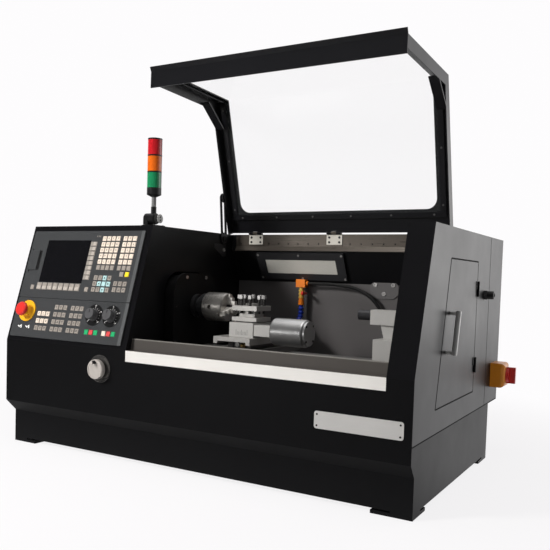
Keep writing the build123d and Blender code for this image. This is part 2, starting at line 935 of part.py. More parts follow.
with BuildPart() as guard_frame:
    for rail_x in (guard_left, guard_right - guard_rail_width):
        extrude(yz_outline(rail_x, folded(guard_path, 0, guard_skin)), amount=guard_rail_width)
    for flange_x in (guard_left, guard_right - guard_skin):
        extrude(yz_outline(flange_x, folded(guard_path, 0, guard_rail_depth)), amount=guard_skin)
    extrude(yz_outline(guard_left, folded(foot_path, 0, guard_skin)), amount=guard_width)
    extrude(yz_outline(guard_left, folded(lip_path, 0, guard_skin)), amount=guard_width)
    for brace_x in (guard_left, guard_right - brace_width):
        extrude(yz_outline(brace_x, folded(brace_path, 0, brace_thickness)), amount=brace_width)
    with BuildSketch(window_plane):
        window_x = guard_width / 2 - guard_rail_width
        window_u = guard_start + guard_foot
        for side in (-1, 1):
            with BuildLine():
                Line((side * window_x, window_u), (side * window_x, window_u + window_corner))
                Line((side * window_x, window_u), (side * (window_x - window_corner), window_u))
                RadiusArc(
                    (side * window_x, window_u + window_corner),
                    (side * (window_x - window_corner), window_u),
                    side * window_corner,
                )
            make_face()
    extrude(amount=guard_skin)
    for hinge_x in hinge_xs:
        rod(
            (hinge_x - knuckle_length / 2 - clear, hinge_y, hinge_z), "x",
            knuckle_radius + knuckle_relief, knuckle_length + 2 * clear, Mode.SUBTRACT,
        )
        for knuckle_x in (hinge_x - 3 * knuckle_length / 2 - clear, hinge_x + knuckle_length / 2 + clear):
            rod((knuckle_x, hinge_y, hinge_z), "x", knuckle_radius, knuckle_length)
            lug_path = [(hinge_point.X, hinge_point.Y), foot_path[0]]
            extrude(yz_outline(knuckle_x, folded(lug_path, 0, guard_skin)), amount=knuckle_length)
        rod((hinge_x - knuckle_length, hinge_y, hinge_z), "x", hinge_pin_radius, 2 * knuckle_length)
    washer_x = box_right + stay_gap + stay_thickness + clear
    rod((washer_x, pin_y, stay_pin_z), "x", washer_radius, guard_left - washer_x)
save(guard_frame, "guard_frame")

# Guard window: one clear sheet, bent with the frame and lapped behind its skins
pane_start = hinge_point + main_run * (guard_start + guard_foot - pane_bottom_lap)
pane_end = visor_point - visor_run * guard_skin
pane_path = [flat(pane_start), guard_path[1], flat(pane_end)]
pane_left = guard_left + guard_rail_width - pane_lap
pane_width = guard_width - 2 * (guard_rail_width - pane_lap)
with BuildPart() as guard_window:
    extrude(
        yz_outline(pane_left, folded(pane_path, guard_skin, guard_skin + pane_thickness)),
        amount=pane_width,
    )
save(guard_window, "guard_window")

# Guard stay: a flat arm with one long slot, turning on a stud on the housing
stay_run = Vector(pin_y - stay_y, stay_pin_z - stay_z)
stay_length = stay_run.length
stay_plane = Plane(
    origin=(box_right + stay_gap, stay_y, stay_z), x_dir=(0, stay_run.X, stay_run.Y), z_dir=(1, 0, 0),
)
with BuildPart() as guard_stay:
    with BuildSketch(stay_plane):
        with Locations((stay_length / 2, 0)):
            SlotCenterToCenter(stay_length, stay_width)
        with Locations(((stay_length + stay_slot_start) / 2, 0)):
            SlotCenterToCenter(stay_length - stay_slot_start, stay_slot, mode=Mode.SUBTRACT)
        Circle(stud_radius + running, mode=Mode.SUBTRACT)
    extrude(amount=stay_thickness)
save(guard_stay, "guard_stay")

# Upper panel unit: a front plate with a sunk screen, and a body through the cut-out
upper_centre = (panel_left + panel_width / 2, upper_bottom + upper_height / 2)
lower_centre = (panel_left + panel_width / 2, lower_bottom + lower_height / 2)
screen_width = across(screen_size_shares[0])
screen_height = screen_size_shares[1] * upper_height
screen_corner = on_upper(screen_place_shares)
screen_centre = (screen_corner[0] + screen_width / 2, screen_corner[1] + screen_height / 2)
flap_left, flap_bottom = on_upper(flap_place_shares)
flap_width = across(flap_size_shares[0])
flap_height = flap_size_shares[1] * upper_height
flap_axis = panel_thickness + clear + flap_thickness / 2
flap_lugs = (flap_bottom - clear - flap_lug_length, flap_bottom + flap_height + clear)
with BuildPart() as upper_panel:
    with BuildSketch(panel_plane):
        with Locations(upper_centre):
            RectangleRounded(panel_width, upper_height, panel_corner)
    extrude(amount=panel_thickness)
    with BuildSketch(panel_plane):
        with Locations(upper_centre):
            Rectangle(panel_width - 2 * panel_body_margin, upper_height - 2 * panel_body_margin)
    extrude(amount=-panel_body_depth)
    with BuildSketch(panel_face):
        with Locations(screen_centre):
            Rectangle(screen_width, screen_height)
    extrude(amount=-screen_recess, mode=Mode.SUBTRACT)
    for lug_bottom, pin_shift in zip(flap_lugs, (flap_lug_length, -flap_lug_length)):
        with BuildSketch(panel_face):
            with Locations((flap_left, lug_bottom + flap_lug_length / 2)):
                Rectangle(flap_thickness, flap_lug_length)
        extrude(amount=clear + flap_thickness / 2)
        panel_rod((flap_left, lug_bottom, flap_axis), flap_thickness / 2, flap_lug_length)
        panel_rod((flap_left, lug_bottom + pin_shift, flap_axis), flap_pin_radius, flap_lug_length)
save(upper_panel, "upper_panel")

# Screen glass in its recess
with BuildPart() as panel_screen:
    with BuildSketch(panel_face.offset(-screen_recess)):
        with Locations(screen_centre):
            Rectangle(screen_width, screen_height)
    extrude(amount=screen_thickness)
save(panel_screen, "panel_screen")

# Lower panel unit: a front plate with two dial rings and a body through the cut-out
knob_centres = [on_lower(shares) for shares in knob_shares]
stop_centre = on_lower(stop_shares)
with BuildPart() as lower_panel:
    with BuildSketch(panel_plane):
        with Locations(lower_centre):
            RectangleRounded(panel_width, lower_height, panel_corner)
    extrude(amount=panel_thickness)
    with BuildSketch(panel_plane):
        with Locations(lower_centre):
            Rectangle(panel_width - 2 * panel_body_margin, lower_height - 2 * panel_body_margin)
    extrude(amount=-panel_body_depth)
    with BuildSketch(panel_face):
        with Locations(*knob_centres):
            Circle(dial_radius)
    extrude(amount=dial_thickness)
    with BuildSketch(panel_face.offset(dial_thickness)):
        with Locations(*knob_centres):
            Circle(knob_shaft_radius + running)
    extrude(amount=-knob_shaft_depth, mode=Mode.SUBTRACT)
save(lower_panel, "lower_panel")

# Keys: raised caps of the sealed keypads, in blocks as on the panels
key_pitch = across(key_column_share)
key_row_pitch = key_row_share * upper_height
key_width = key_width_share * key_pitch
key_depth = key_depth_share * key_row_pitch


def key_block(centre, columns, rows, pitch=(key_pitch, key_row_pitch), size=(key_width, key_depth)):
    """Outlines of a block of keys round a place on the panels."""
    with Locations(centre):
        with GridLocations(*pitch, columns, rows):
            Rectangle(*size)


softkey_v_size = (across(softkey_v_size_shares[0]), softkey_v_size_shares[1] * upper_height)
softkey_h_size = (across(softkey_h_size_shares[0]), softkey_h_size_shares[1] * upper_height)
with BuildPart() as panel_keys:
    with BuildSketch(panel_face):
        softkey_pitch = (across(softkey_h_pitch_share), softkey_v_pitch_share * upper_height)
        key_block(on_upper(softkey_v_shares), 1, softkey_count, softkey_pitch, softkey_v_size)
        key_block(on_upper(softkey_h_shares), softkey_count, 1, softkey_pitch, softkey_h_size)
        for shares in recall_keys_shares:
            key_block(on_upper(shares), 1, 1)
        key_block(on_upper(letter_keys_shares), letter_columns, typing_rows)
        key_block(on_upper(digit_keys_shares), digit_columns, typing_rows)
        for shares in edit_keys_shares:
            key_block(on_upper(shares), 1, 1)
        key_block(on_upper(cursor_keys_shares), cursor_columns, cursor_rows)
        key_block(on_upper(page_keys_shares), page_columns, page_rows)
        for row, row_share in enumerate(mode_rows_shares):
            for column_share in mode_columns_shares[int(row == 0):]:
                key_block(on_lower((column_share, row_share)), mode_columns, 1)
        for shares in cycle_keys_shares:
            key_block(on_lower(shares), cycle_columns, 1)
    extrude(amount=key_height)
save(panel_keys, "panel_keys")

# Flap over the sockets beside the screen
with BuildPart() as socket_flap:
    with BuildSketch(panel_face.offset(clear)):
        with Locations((flap_left + flap_width / 2, flap_bottom + flap_height / 2)):
            Rectangle(flap_width, flap_height)
    extrude(amount=flap_thickness)
    flap_front = socket_flap.faces().sort_by(Axis(panel_plane.origin, panel_normal))[-1]
    chamfer(flap_front.edges(), flap_chamfer)
    panel_rod((flap_left, flap_bottom, flap_axis), flap_thickness / 2, flap_height)
    panel_rod((flap_left, flap_bottom, flap_axis), flap_pin_radius + running, flap_height, Mode.SUBTRACT)
save(socket_flap, "socket_flap")

# Emergency stop: yellow ring with a collar, and a mushroom button with its stem
stop_face = panel_face.offset(stop_ring_thickness)
with BuildPart() as stop_ring:
    with BuildSketch(panel_face):
        with Locations(stop_centre):
            Circle(stop_ring_radius)
    extrude(amount=stop_ring_thickness)
    with BuildSketch(stop_face):
        with Locations(stop_centre):
            Circle(stop_collar_radius)
    extrude(amount=stop_collar_height)
    with BuildSketch(stop_face.offset(stop_collar_height)):
        with Locations(stop_centre):
            Circle(stop_stem_radius + running)
    extrude(amount=-stop_collar_height, mode=Mode.SUBTRACT)
save(stop_ring, "stop_ring")

button_face = stop_face.offset(stop_collar_height + stop_travel_room)
with BuildPart() as stop_button:
    with BuildSketch(button_face):
        with Locations(stop_centre):
            Circle(mushroom_radius)
    extrude(amount=mushroom_height)
    button_rims = stop_button.edges(
        ).filter_by(GeomType.CIRCLE).sort_by(Axis(panel_plane.origin, panel_normal),
    )
    fillet(button_rims[-1], mushroom_crown)
    chamfer(button_rims[0], mushroom_edge)
    with BuildSketch(button_face):
        with Locations(stop_centre):
            Circle(stop_stem_radius)
    extrude(amount=-stop_travel_room - stop_stem_depth)
save(stop_button, "stop_button")

# Override knobs: a skirted round knob on a short shaft
knob_base = panel_face.offset(dial_thickness + clear)
for knob_name, knob_centre in zip(("spindle_override_knob", "feed_override_knob"), knob_centres):
    with BuildPart() as override_knob:
        for base, radius, reach in (
            (knob_base, knob_skirt_radius, knob_skirt_height),
            (knob_base.offset(knob_skirt_height), knob_radius, knob_height - knob_skirt_height),
            (knob_base, knob_shaft_radius, -knob_shaft_depth + dial_thickness),
        ):
            with BuildSketch(base):
                with Locations(knob_centre):
                    Circle(radius)
            extrude(amount=reach)
        knob_face = override_knob.faces().sort_by(Axis(panel_plane.origin, panel_normal))[-1]
        chamfer(knob_face.edges(), knob_face_chamfer)
    save(override_knob, knob_name)

# Pulse handwheel: a dished disc with a crank pin
wheel_back = front - bezel_thickness - clear
wheel_front = wheel_back - wheel_hub_length - wheel_thickness
with BuildPart() as pulse_handwheel:
    rod((wheel_x, wheel_front, wheel_z), "y", wheel_radius, wheel_thickness)
    fillet(pulse_handwheel.edges().filter_by(GeomType.CIRCLE), wheel_edge)
    rod(
        (wheel_x, wheel_front - overrun, wheel_z), "y", wheel_dish_radius,
        wheel_dish + overrun, Mode.SUBTRACT,
    )
    rod((wheel_x, wheel_back - wheel_hub_length, wheel_z), "y", wheel_hub_radius, wheel_hub_length)
    rod((wheel_x, wheel_back, wheel_z), "y", wheel_shaft_radius, bezel_thickness + clear + 2 * sheet)
    rod(
        (
            wheel_x, wheel_front - crank_length, wheel_z + crank_offset,
        ),
        "y", crank_radius, crank_length + wheel_thickness / 2,
    )
save(pulse_handwheel, "pulse_handwheel")

# Signal tower: a folding mount, a pole with its base, rings and core, and three lenses
tower_x = left + tower_from_left
tower_y = front + tower_setback
split_x = tower_x - tower_barrel_split
barrel_right = split_x + tower_barrel_right
with BuildPart() as tower_mount:
    slab(
        (tower_x - tower_foot / 2, tower_y - tower_foot / 2, height),
        (tower_x + tower_foot / 2, tower_y + tower_foot / 2, height + tower_foot_thickness),
    )
    rod((split_x - tower_barrel_left, tower_y, tower_pivot_z), "x", tower_barrel_radius, tower_barrel_left)
    slab(
        (split_x - tower_barrel_left, tower_y - tower_barrel_radius, height),
        (split_x, tower_y + tower_barrel_radius, tower_pivot_z),
    )
    rod((split_x, tower_y, tower_pivot_z), "x", tower_pin_radius, tower_barrel_right)
    rod((barrel_right + clear, tower_y, tower_pivot_z), "x", tower_cap_radius, tower_cap_height)
    rod((barrel_right, tower_y, tower_pivot_z), "x", tower_pin_radius, clear)
save(tower_mount, "tower_mount")

lens_bottoms = [tower_base_top + lens_ring + i * (lens_height + lens_ring) for i in range(lens_count)]
tower_top = lens_bottoms[-1] + lens_height + lens_ring
with BuildPart() as tower_pole:
    rod((split_x + clear, tower_y, tower_pivot_z), "x", tower_barrel_radius, tower_barrel_right - clear)
    rod(
        (tower_x, tower_y, tower_pivot_z), "z",
        tower_sleeve_radius, height + tower_sleeve_rise - tower_pivot_z,
    )
    rod((tower_x, tower_y, tower_pivot_z), "z", tower_pole_radius, tower_base_top - tower_pivot_z)
    with Locations((tower_x, tower_y, height + tower_cone_rise)):
        Cone(tower_sleeve_radius, tower_radius, tower_base_rise - tower_cone_rise, align=ON_AXIS)
    rod(
        (tower_x, tower_y, tower_base_bottom), "z", tower_radius,
        tower_base_top - tower_base_bottom + lens_ring,
    )
    rod((tower_x, tower_y, tower_base_top), "z", tower_core_radius, tower_top - tower_base_top)
    for lens_bottom in lens_bottoms:
        rod((tower_x, tower_y, lens_bottom + lens_height), "z", tower_radius, lens_ring)
    rod(
        (split_x - overrun, tower_y, tower_pivot_z), "x", tower_pin_radius + running,
        tower_barrel_right + 2 * overrun, Mode.SUBTRACT,
    )
save(tower_pole, "tower_pole")

with BuildPart() as tower_lenses:
    for lens_bottom in lens_bottoms:
        rod((tower_x, tower_y, lens_bottom), "z", tower_radius, lens_height)
        rod((tower_x, tower_y, lens_bottom), "z", tower_radius - lens_wall, lens_height, Mode.SUBTRACT)
save(tower_lenses, "tower_lenses")

# Rotary isolator: a box with rounded outer edges, and a handle on a shaft
isolator_y = front + isolator_setback + isolator_width / 2
isolator_z = isolator_bottom + isolator_height / 2
isolator_face = right + isolator_depth
with BuildPart() as isolator_box:
    slab(
        (right, front + isolator_setback, isolator_bottom),
        (isolator_face, front + isolator_setback + isolator_width, isolator_bottom + isolator_height),
    )
    fillet(isolator_box.faces().sort_by(Axis.X)[-1].edges(), isolator_round)
    rod(
        (isolator_face - isolator_shaft_depth, isolator_y, isolator_z),
        "x", isolator_shaft_radius + running,
        isolator_shaft_depth + overrun, Mode.SUBTRACT,
    )
save(isolator_box, "isolator_box")

with BuildPart() as isolator_handle:
    handle_back = isolator_face + clear
    rod((handle_back, isolator_y, isolator_z), "x", isolator_knob_radius, isolator_knob_height)
    slab(
        (handle_back, isolator_y - isolator_grip_width / 2, isolator_z - isolator_grip_length / 2),
        (
            handle_back + isolator_knob_height + isolator_grip_height, isolator_y + isolator_grip_width / 2,
            isolator_z + isolator_grip_length / 2,
        ),
    )
    rod(
        (isolator_face - isolator_shaft_depth, isolator_y, isolator_z), "x", isolator_shaft_radius,
        isolator_shaft_depth + 2 * clear,
    )
save(isolator_handle, "isolator_handle")

# Side door: a sheet in its opening, with a bar handle that follows the sloping edge
edge_run = Vector(*door_outline[1]) - Vector(*door_outline[0])
handle_places = []
for handle_z in (handle_bottom, handle_top):
    edge_share = (handle_z - door_bottom) / (door_top - door_bottom)
    handle_places.append((right, door_outline[0][0] + edge_run.X * edge_share + handle_inset, handle_z))
with BuildPart() as side_door:
    extrude(yz_outline(right - sheet, door_outline, door_gap), amount=sheet)
    for place in handle_places:
        rod(place, "x", handle_post_radius, handle_standoff)
    handle_start = Vector(*handle_places[0]) + Vector(handle_standoff, 0, 0)
    handle_run = Vector(*handle_places[1]) - Vector(*handle_places[0])
    handle_end = handle_start - handle_run.normalized() * handle_radius
    with BuildSketch(Plane(origin=handle_end, z_dir=handle_run)):
        Circle(handle_radius)
    extrude(amount=handle_run.length + 2 * handle_radius)
    for low_z in door_hinge_bottoms:
        knuckle_z = low_z + door_hinge_length + clear
        slab(
            (right, door_rear - door_hinge_leaf, knuckle_z),
            (right + door_hinge_leaf_thickness, door_rear - door_gap, knuckle_z + door_hinge_length),
        )
        rod((door_hinge_x, door_rear, knuckle_z), "z", door_hinge_radius, door_hinge_length)
        rod(
            (door_hinge_x, door_rear, knuckle_z), "z", door_hinge_pin_radius + running, door_hinge_length,
            Mode.SUBTRACT,
        )
save(side_door, "side_door")

# Cable gland: a hexagon nut and a domed cap with its bore
with BuildPart() as cable_gland:
    with BuildSketch(Plane.YZ.offset(right)):
        with Locations((front + gland_setback, gland_z)):
            RegularPolygon(gland_across_flats / 2, 6, major_radius=False)
    extrude(amount=gland_nut_height)
    rod(
        (right + gland_nut_height, front + gland_setback, gland_z), "x",
        gland_dome_radius, gland_dome_height,
    )
    fillet(cable_gland.edges().filter_by(GeomType.CIRCLE).sort_by(Axis.X)[-1], gland_dome_radius / 3)
    rod(
        (right + gland_nut_height, front + gland_setback, gland_z), "x", gland_bore_radius,
        gland_dome_height + overrun, Mode.SUBTRACT,
    )
save(cable_gland, "cable_gland")

# Work light: a bezel on the soffit and a sunk diffuser
soffit_run = Vector(0, wall_y - drop_y, soffit_bottom - drop_bottom)
soffit_plane = Plane(
    origin=Vector(left + lamp_from_left, (drop_y + wall_y) / 2, (drop_bottom + soffit_bottom) / 2)
    - soffit_run.normalized() * lamp_rise,
    x_dir=(1, 0, 0), z_dir=(0, soffit_run.Z, -soffit_run.Y),
)
with BuildPart() as lamp_bezel:
    with BuildSketch(soffit_plane):
        RectangleRounded(lamp_width, lamp_height, lamp_corner)
        Rectangle(lamp_window_width, lamp_window_height, mode=Mode.SUBTRACT)
    extrude(amount=lamp_thickness)
save(lamp_bezel, "lamp_bezel")

with BuildPart() as lamp_diffuser:
    with BuildSketch(soffit_plane.offset(lamp_thickness - diffuser_sunk)):
        Rectangle(lamp_window_width, lamp_window_height)
    extrude(amount=-diffuser_thickness)
save(lamp_diffuser, "lamp_diffuser")

# Bed: a trough casting with a raised way each side, cross ribs, two pedestals and a screw bracket
bed_left = left + bed_from_left
bed_right = bed_left + bed_length
bed_front = axis_y - bed_width / 2
bed_rear = axis_y + bed_width / 2
screw_y = front + z_screw_setback
bed_section = [
    (bed_front, bed_bottom), (bed_front, bed_top - way_height), (bed_front + way_height, bed_top),
    (bed_front + way_width, bed_top), (bed_front + bed_wall, bed_top - way_height),
    (bed_front + bed_wall, bed_bottom + bed_floor), (bed_rear - bed_wall, bed_bottom + bed_floor),
    (bed_rear - bed_wall, bed_top - way_height), (bed_rear - way_width, bed_top),
    (bed_rear - way_height, bed_top), (bed_rear, bed_top - way_height), (bed_rear, bed_bottom),
]
with BuildPart() as lathe_bed:
    extrude(yz_outline(bed_left, bed_section), amount=bed_length)
    for rib in range(bed_ribs):
        rib_x = bed_left + (rib + 1) * bed_length / (bed_ribs + 1)
        slab(
            (rib_x - bed_rib_width / 2, bed_front + bed_wall, bed_bottom + bed_floor),
            (rib_x + bed_rib_width / 2, bed_rear - bed_wall, bed_top - 2 * way_height),
        )
    for pedestal_x in (bed_left + pedestal_inset, bed_right - pedestal_inset - pedestal_length):
        slab(
            (pedestal_x, bed_front, chamber_floor), (pedestal_x + pedestal_length, bed_rear, bed_bottom),
        )
    slab(
        (bed_right - screw_bracket_length, bed_rear, z_screw_z - screw_bracket_margin),
        (bed_right, screw_y + screw_bracket_margin, z_screw_z + screw_bracket_margin),
    )
    rod(
        (bed_right - screw_bracket_length - overrun, screw_y, z_screw_z), "x", z_screw_radius + running,
        screw_bracket_length + 2 * overrun, Mode.SUBTRACT,
    )
save(lathe_bed, "lathe_bed")

# Headstock: an arched casting with a cover flange, bored for the spindle and its bearings
headstock_left = left + headstock_from_left
cover_left = left + headstock_face - headstock_cover
with BuildPart() as headstock:
    for start, end, inset in (
        (headstock_left, cover_left, headstock_cover_lip), (cover_left, left + headstock_face, 0),
    ):
        with BuildSketch(Plane.YZ.offset(start)) as arch:
            with BuildLine():
                Polyline(
                    (headstock_front + inset, bed_top), (headstock_front + inset, headstock_top - inset),
                    (headstock_rear - inset, headstock_top - inset),
                    (headstock_rear - inset, bed_top), close=True,
                )
            make_face()
            fillet(arch.vertices().group_by(Axis.Y)[-1], headstock_round)
        extrude(amount=end - start)
    rod(
        (headstock_left - overrun, axis_y, spindle_z), "x", spindle_room,
        headstock_face - headstock_from_left + 2 * overrun, Mode.SUBTRACT,
    )
    for seat_x in (headstock_left, cover_left - bearing_width):
        rod((seat_x, axis_y, spindle_z), "x", bearing_radius, bearing_width, Mode.SUBTRACT)
save(headstock, "headstock")

# Bearings: two, each with a shallow groove in both faces between its rings
bearing_ring = bearing_ring_share * (bearing_radius - spindle_radius)
with BuildPart() as spindle_bearings:
    for seat_x in (headstock_left, cover_left - bearing_width):
        rod((seat_x, axis_y, spindle_z), "x", bearing_radius, bearing_width)
        rod((seat_x, axis_y, spindle_z), "x", spindle_radius + running, bearing_width, Mode.SUBTRACT)
        for groove_x in (seat_x, seat_x + bearing_width - bearing_groove):
            with BuildSketch(Plane.YZ.offset(groove_x)):
                with Locations((axis_y, spindle_z)):
                    Circle(bearing_radius - bearing_ring)
                    Circle(spindle_radius + bearing_ring, mode=Mode.SUBTRACT)
            extrude(amount=bearing_groove, mode=Mode.SUBTRACT)
save(spindle_bearings, "spindle_bearings")

# Spindle: a hollow shaft with a nose flange for the chuck
spindle_left = headstock_left - spindle_tail
with BuildPart() as spindle:
    rod((spindle_left, axis_y, spindle_z), "x", spindle_radius, chuck_back_x - spindle_left)
    rod((chuck_back_x - nose_flange, axis_y, spindle_z), "x", nose_flange_radius, nose_flange)
    rod(
        (left + headstock_face + nose_collar_gap, axis_y, spindle_z), "x", nose_collar_radius, nose_collar,
    )
    rod(
        (spindle_left - overrun, axis_y, spindle_z), "x", spindle_bore_radius,
        chuck_back_x - spindle_left + 2 * overrun, Mode.SUBTRACT,
    )
save(spindle, "spindle")

# Pulleys with a rim each side, the belt round them, and the spindle motor
pulley_left = spindle_left + pulley_inset
motor_y = front + motor_setback
with BuildPart() as spindle_pulley:
    rod((pulley_left, axis_y, spindle_z), "x", pulley_radius, pulley_width)
    for rim_x in (pulley_left, pulley_left + pulley_width - pulley_rim / 2):
        rod((rim_x, axis_y, spindle_z), "x", pulley_radius + pulley_rim_height, pulley_rim / 2)
    rod((pulley_left, axis_y, spindle_z), "x", spindle_radius, pulley_width, Mode.SUBTRACT)
save(spindle_pulley, "spindle_pulley")

with BuildPart() as motor_pulley:
    rod((pulley_left, motor_y, motor_z), "x", motor_pulley_radius, pulley_width)
    for rim_x in (pulley_left, pulley_left + pulley_width - pulley_rim / 2):
        rod((rim_x, motor_y, motor_z), "x", motor_pulley_radius + pulley_rim_height, pulley_rim / 2)
    rod((pulley_left, motor_y, motor_z), "x", motor_shaft_radius + running, pulley_width, Mode.SUBTRACT)
save(motor_pulley, "motor_pulley")


def belt_loop(x, extra):
    """The tight outline round both pulleys."""
    with BuildSketch(Plane.YZ.offset(x)) as loop:
        with Locations((axis_y, spindle_z)):
            Circle(pulley_radius + extra)
        with Locations((motor_y, motor_z)):
            Circle(motor_pulley_radius + extra)
        make_hull(loop.edges())
    return loop.sketch


belt_left = pulley_left + (pulley_width - belt_width) / 2
with BuildPart() as drive_belt:
    extrude(belt_loop(belt_left, clear + belt_thickness), amount=belt_width)
    extrude(belt_loop(belt_left, clear), amount=belt_width, mode=Mode.SUBTRACT)
save(drive_belt, "drive_belt")

motor_right = pulley_left - clear
with BuildPart() as spindle_motor:
    rod((motor_right - motor_length, motor_y, motor_z), "x", motor_radius - motor_fin_height, motor_length)
    with Locations(Location((motor_right - motor_length, motor_y, motor_z), TURN["x"])):
        with PolarLocations(motor_radius - motor_fin_height, motor_fin_count):
            Box(2 * motor_fin_height, motor_fin_width, motor_length, align=ON_AXIS)
    slab(
        (motor_right - motor_length, motor_y - motor_foot_width / 2, chamber_floor),
        (motor_right - sheet, motor_y + motor_foot_width / 2, motor_z - motor_radius / 2),
    )
    rod((motor_right, motor_y, motor_z), "x", motor_shaft_radius, pulley_width + clear)
save(spindle_motor, "spindle_motor")

# Chuck body, with three radial slots, a key socket and a through bore
jaw_angles = [first_jaw_angle + i * 360 / jaw_count for i in range(jaw_count)]


def jaw_plane(angle):
    """A plane through the spindle line, with its second axis along one jaw."""
    turn = radians(angle)
    return Plane(
        origin=(chuck_face_x, axis_y, spindle_z), x_dir=(1, 0, 0), z_dir=(0, -sin(turn), cos(turn)),
    )


with BuildPart() as chuck_body:
    rod((chuck_back_x, axis_y, spindle_z), "x", chuck_radius, chuck_length)
    chamfer(chuck_body.edges().filter_by(GeomType.CIRCLE), chuck_edge)
    rod(
        (chuck_back_x - overrun, axis_y, spindle_z), "x", spindle_bore_radius,
        chuck_length + 2 * overrun, Mode.SUBTRACT,
    )
    for angle in jaw_angles:
        with BuildSketch(jaw_plane(angle)):
            with Locations(((overrun - jaw_root - sliding) / 2, (chuck_radius + overrun) / 2)):
                Rectangle(jaw_root + sliding + overrun, chuck_radius + overrun)
        extrude(amount=jaw_width / 2 + sliding, both=True, mode=Mode.SUBTRACT)
    rod(
        (chuck_back_x + chuck_key_share * chuck_length, axis_y - chuck_radius - overrun, spindle_z),
        "y", chuck_key_radius,
        chuck_key_depth + overrun, Mode.SUBTRACT,
    )
save(chuck_body, "chuck_body")

# Jaws: stepped blocks that slide in the chuck's slots
jaw_span = jaw_outer - jaw_inner
steps = [jaw_outer - share * jaw_span for share in jaw_step_shares]
thirds = [jaw_reach * (i + 1) / (len(steps) + 1) for i in range(len(steps) + 1)]
jaw_outline = [
    (-jaw_root, jaw_inner), (-jaw_root, jaw_outer), (thirds[0], jaw_outer), (thirds[0], steps[0]),
    (thirds[1], steps[0]), (thirds[1], steps[1]), (thirds[2], steps[1]), (thirds[2], jaw_inner),
]
for number, angle in enumerate(jaw_angles, start=1):
    with BuildPart() as chuck_jaw:
        with BuildSketch(jaw_plane(angle)):
            with BuildLine():
                Polyline(*jaw_outline, close=True)
            make_face()
        extrude(amount=jaw_width / 2, both=True)
    save(chuck_jaw, f"chuck_jaw_{number}")

# Saddle: a plate across the ways with two rails, a screw block, a motor shelf and a nut bracket
saddle_front = front + saddle_front_setback
saddle_rear = front + saddle_rear_setback
saddle_bottom = bed_top + sliding
x_screw_z = saddle_top + rail_height - x_screw_drop
with BuildPart() as saddle:
    slab(
        (carriage_x - saddle_length / 2, saddle_front, saddle_bottom),
        (carriage_x + saddle_length / 2, saddle_rear, saddle_top),
    )
    for side in (-1, 1):
        rail_x = carriage_x + side * rail_offset
        slab(
            (rail_x - rail_width / 2, saddle_front, saddle_top),
            (rail_x + rail_width / 2, saddle_rear, saddle_top + rail_height),
        )
    slab(
        (carriage_x - screw_block_width / 2, saddle_front, saddle_top),
        (
            carriage_x + screw_block_width / 2, saddle_front + screw_block_length,
            saddle_top + rail_height - sheet,
        ),
    )
    slab(
        (carriage_x - x_motor_size / 2, saddle_rear, saddle_bottom),
        (carriage_x + x_motor_size / 2, saddle_rear + motor_shelf_length, saddle_top),
    )
    rod(
        (carriage_x, saddle_front - overrun, x_screw_z), "y", x_screw_radius + running,
        screw_block_length + 2 * overrun, Mode.SUBTRACT,
    )
    slab(
        (carriage_x - nut_bracket_length / 2, bed_rear + overrun, z_screw_z - nut_bracket_margin),
        (carriage_x + nut_bracket_length / 2, screw_y + nut_bracket_margin, saddle_bottom),
    )
    slab(
        (carriage_x - nut_bracket_length / 2, bed_rear + overrun, saddle_bottom),
        (carriage_x + nut_bracket_length / 2, saddle_rear, saddle_top),
    )
    rod(
        (carriage_x - nut_bracket_length, screw_y, z_screw_z), "x", z_screw_radius + clear,
        2 * nut_bracket_length, Mode.SUBTRACT,
    )
save(saddle, "saddle")

# Cross slide: an inverted channel over the rails, with the screw nut under its top
slide_left = carriage_x - slide_width / 2
slide_right = carriage_x + slide_width / 2
slide_front = front + slide_front_setback
slide_rear = front + slide_rear_setback
slide_under = saddle_top + rail_height + sliding
with BuildPart() as cross_slide:
    slab((slide_left, slide_front, slide_under), (slide_right, slide_rear, slide_top))
    for leg_x in (slide_left, slide_right - slide_leg_width):
        slab((leg_x, slide_front, slide_leg_bottom), (leg_x + slide_leg_width, slide_rear, slide_under))
    slab(
        (carriage_x - slide_nut_width / 2, front + slide_nut_front_setback, saddle_top + sliding),
        (carriage_x + slide_nut_width / 2, front + slide_nut_front_setback + slide_nut_length, slide_under),
    )
    rod(
        (carriage_x, front + slide_nut_front_setback - overrun, x_screw_z), "y", x_screw_radius + clear,
        slide_nut_length + 2 * overrun, Mode.SUBTRACT,
    )
save(cross_slide, "cross_slide")

# Feed screws and motors
x_motor_front = saddle_rear + motor_shelf_length
with BuildPart() as x_motor:
    with BuildSketch(Plane.XZ.offset(-x_motor_front - x_motor_length)):
        with Locations((carriage_x, x_screw_z)):
            RectangleRounded(x_motor_size, x_motor_size, x_motor_round)
    extrude(amount=x_motor_length)
    rod(
        (carriage_x, x_motor_front - overrun, x_screw_z), "y", x_screw_radius + running,
        shaft_seat + overrun, Mode.SUBTRACT,
    )
save(x_motor, "x_motor")

with BuildPart() as x_screw:
    x_screw_front = front + x_screw_front_setback
    rod(
        (carriage_x, x_screw_front, x_screw_z), "y", x_screw_radius,
        x_motor_front + shaft_seat - x_screw_front,
    )
save(x_screw, "x_screw")

z_motor_left = left + z_motor_from_left
z_motor_right = z_motor_left + z_motor_length
with BuildPart() as z_motor:
    with BuildSketch(Plane.YZ.offset(z_motor_left)):
        with Locations((screw_y, z_screw_z)):
            RectangleRounded(z_motor_size, z_motor_size, x_motor_round)
    extrude(amount=z_motor_length)
    slab(
        (z_motor_left, screw_y - z_motor_size / 4, chamber_floor),
        (z_motor_right, screw_y + z_motor_size / 4, z_screw_z - z_motor_size / 3),
    )
    rod(
        (z_motor_right - shaft_seat, screw_y, z_screw_z), "x",
        z_screw_radius + running, shaft_seat + overrun,
        Mode.SUBTRACT,
    )
save(z_motor, "z_motor")

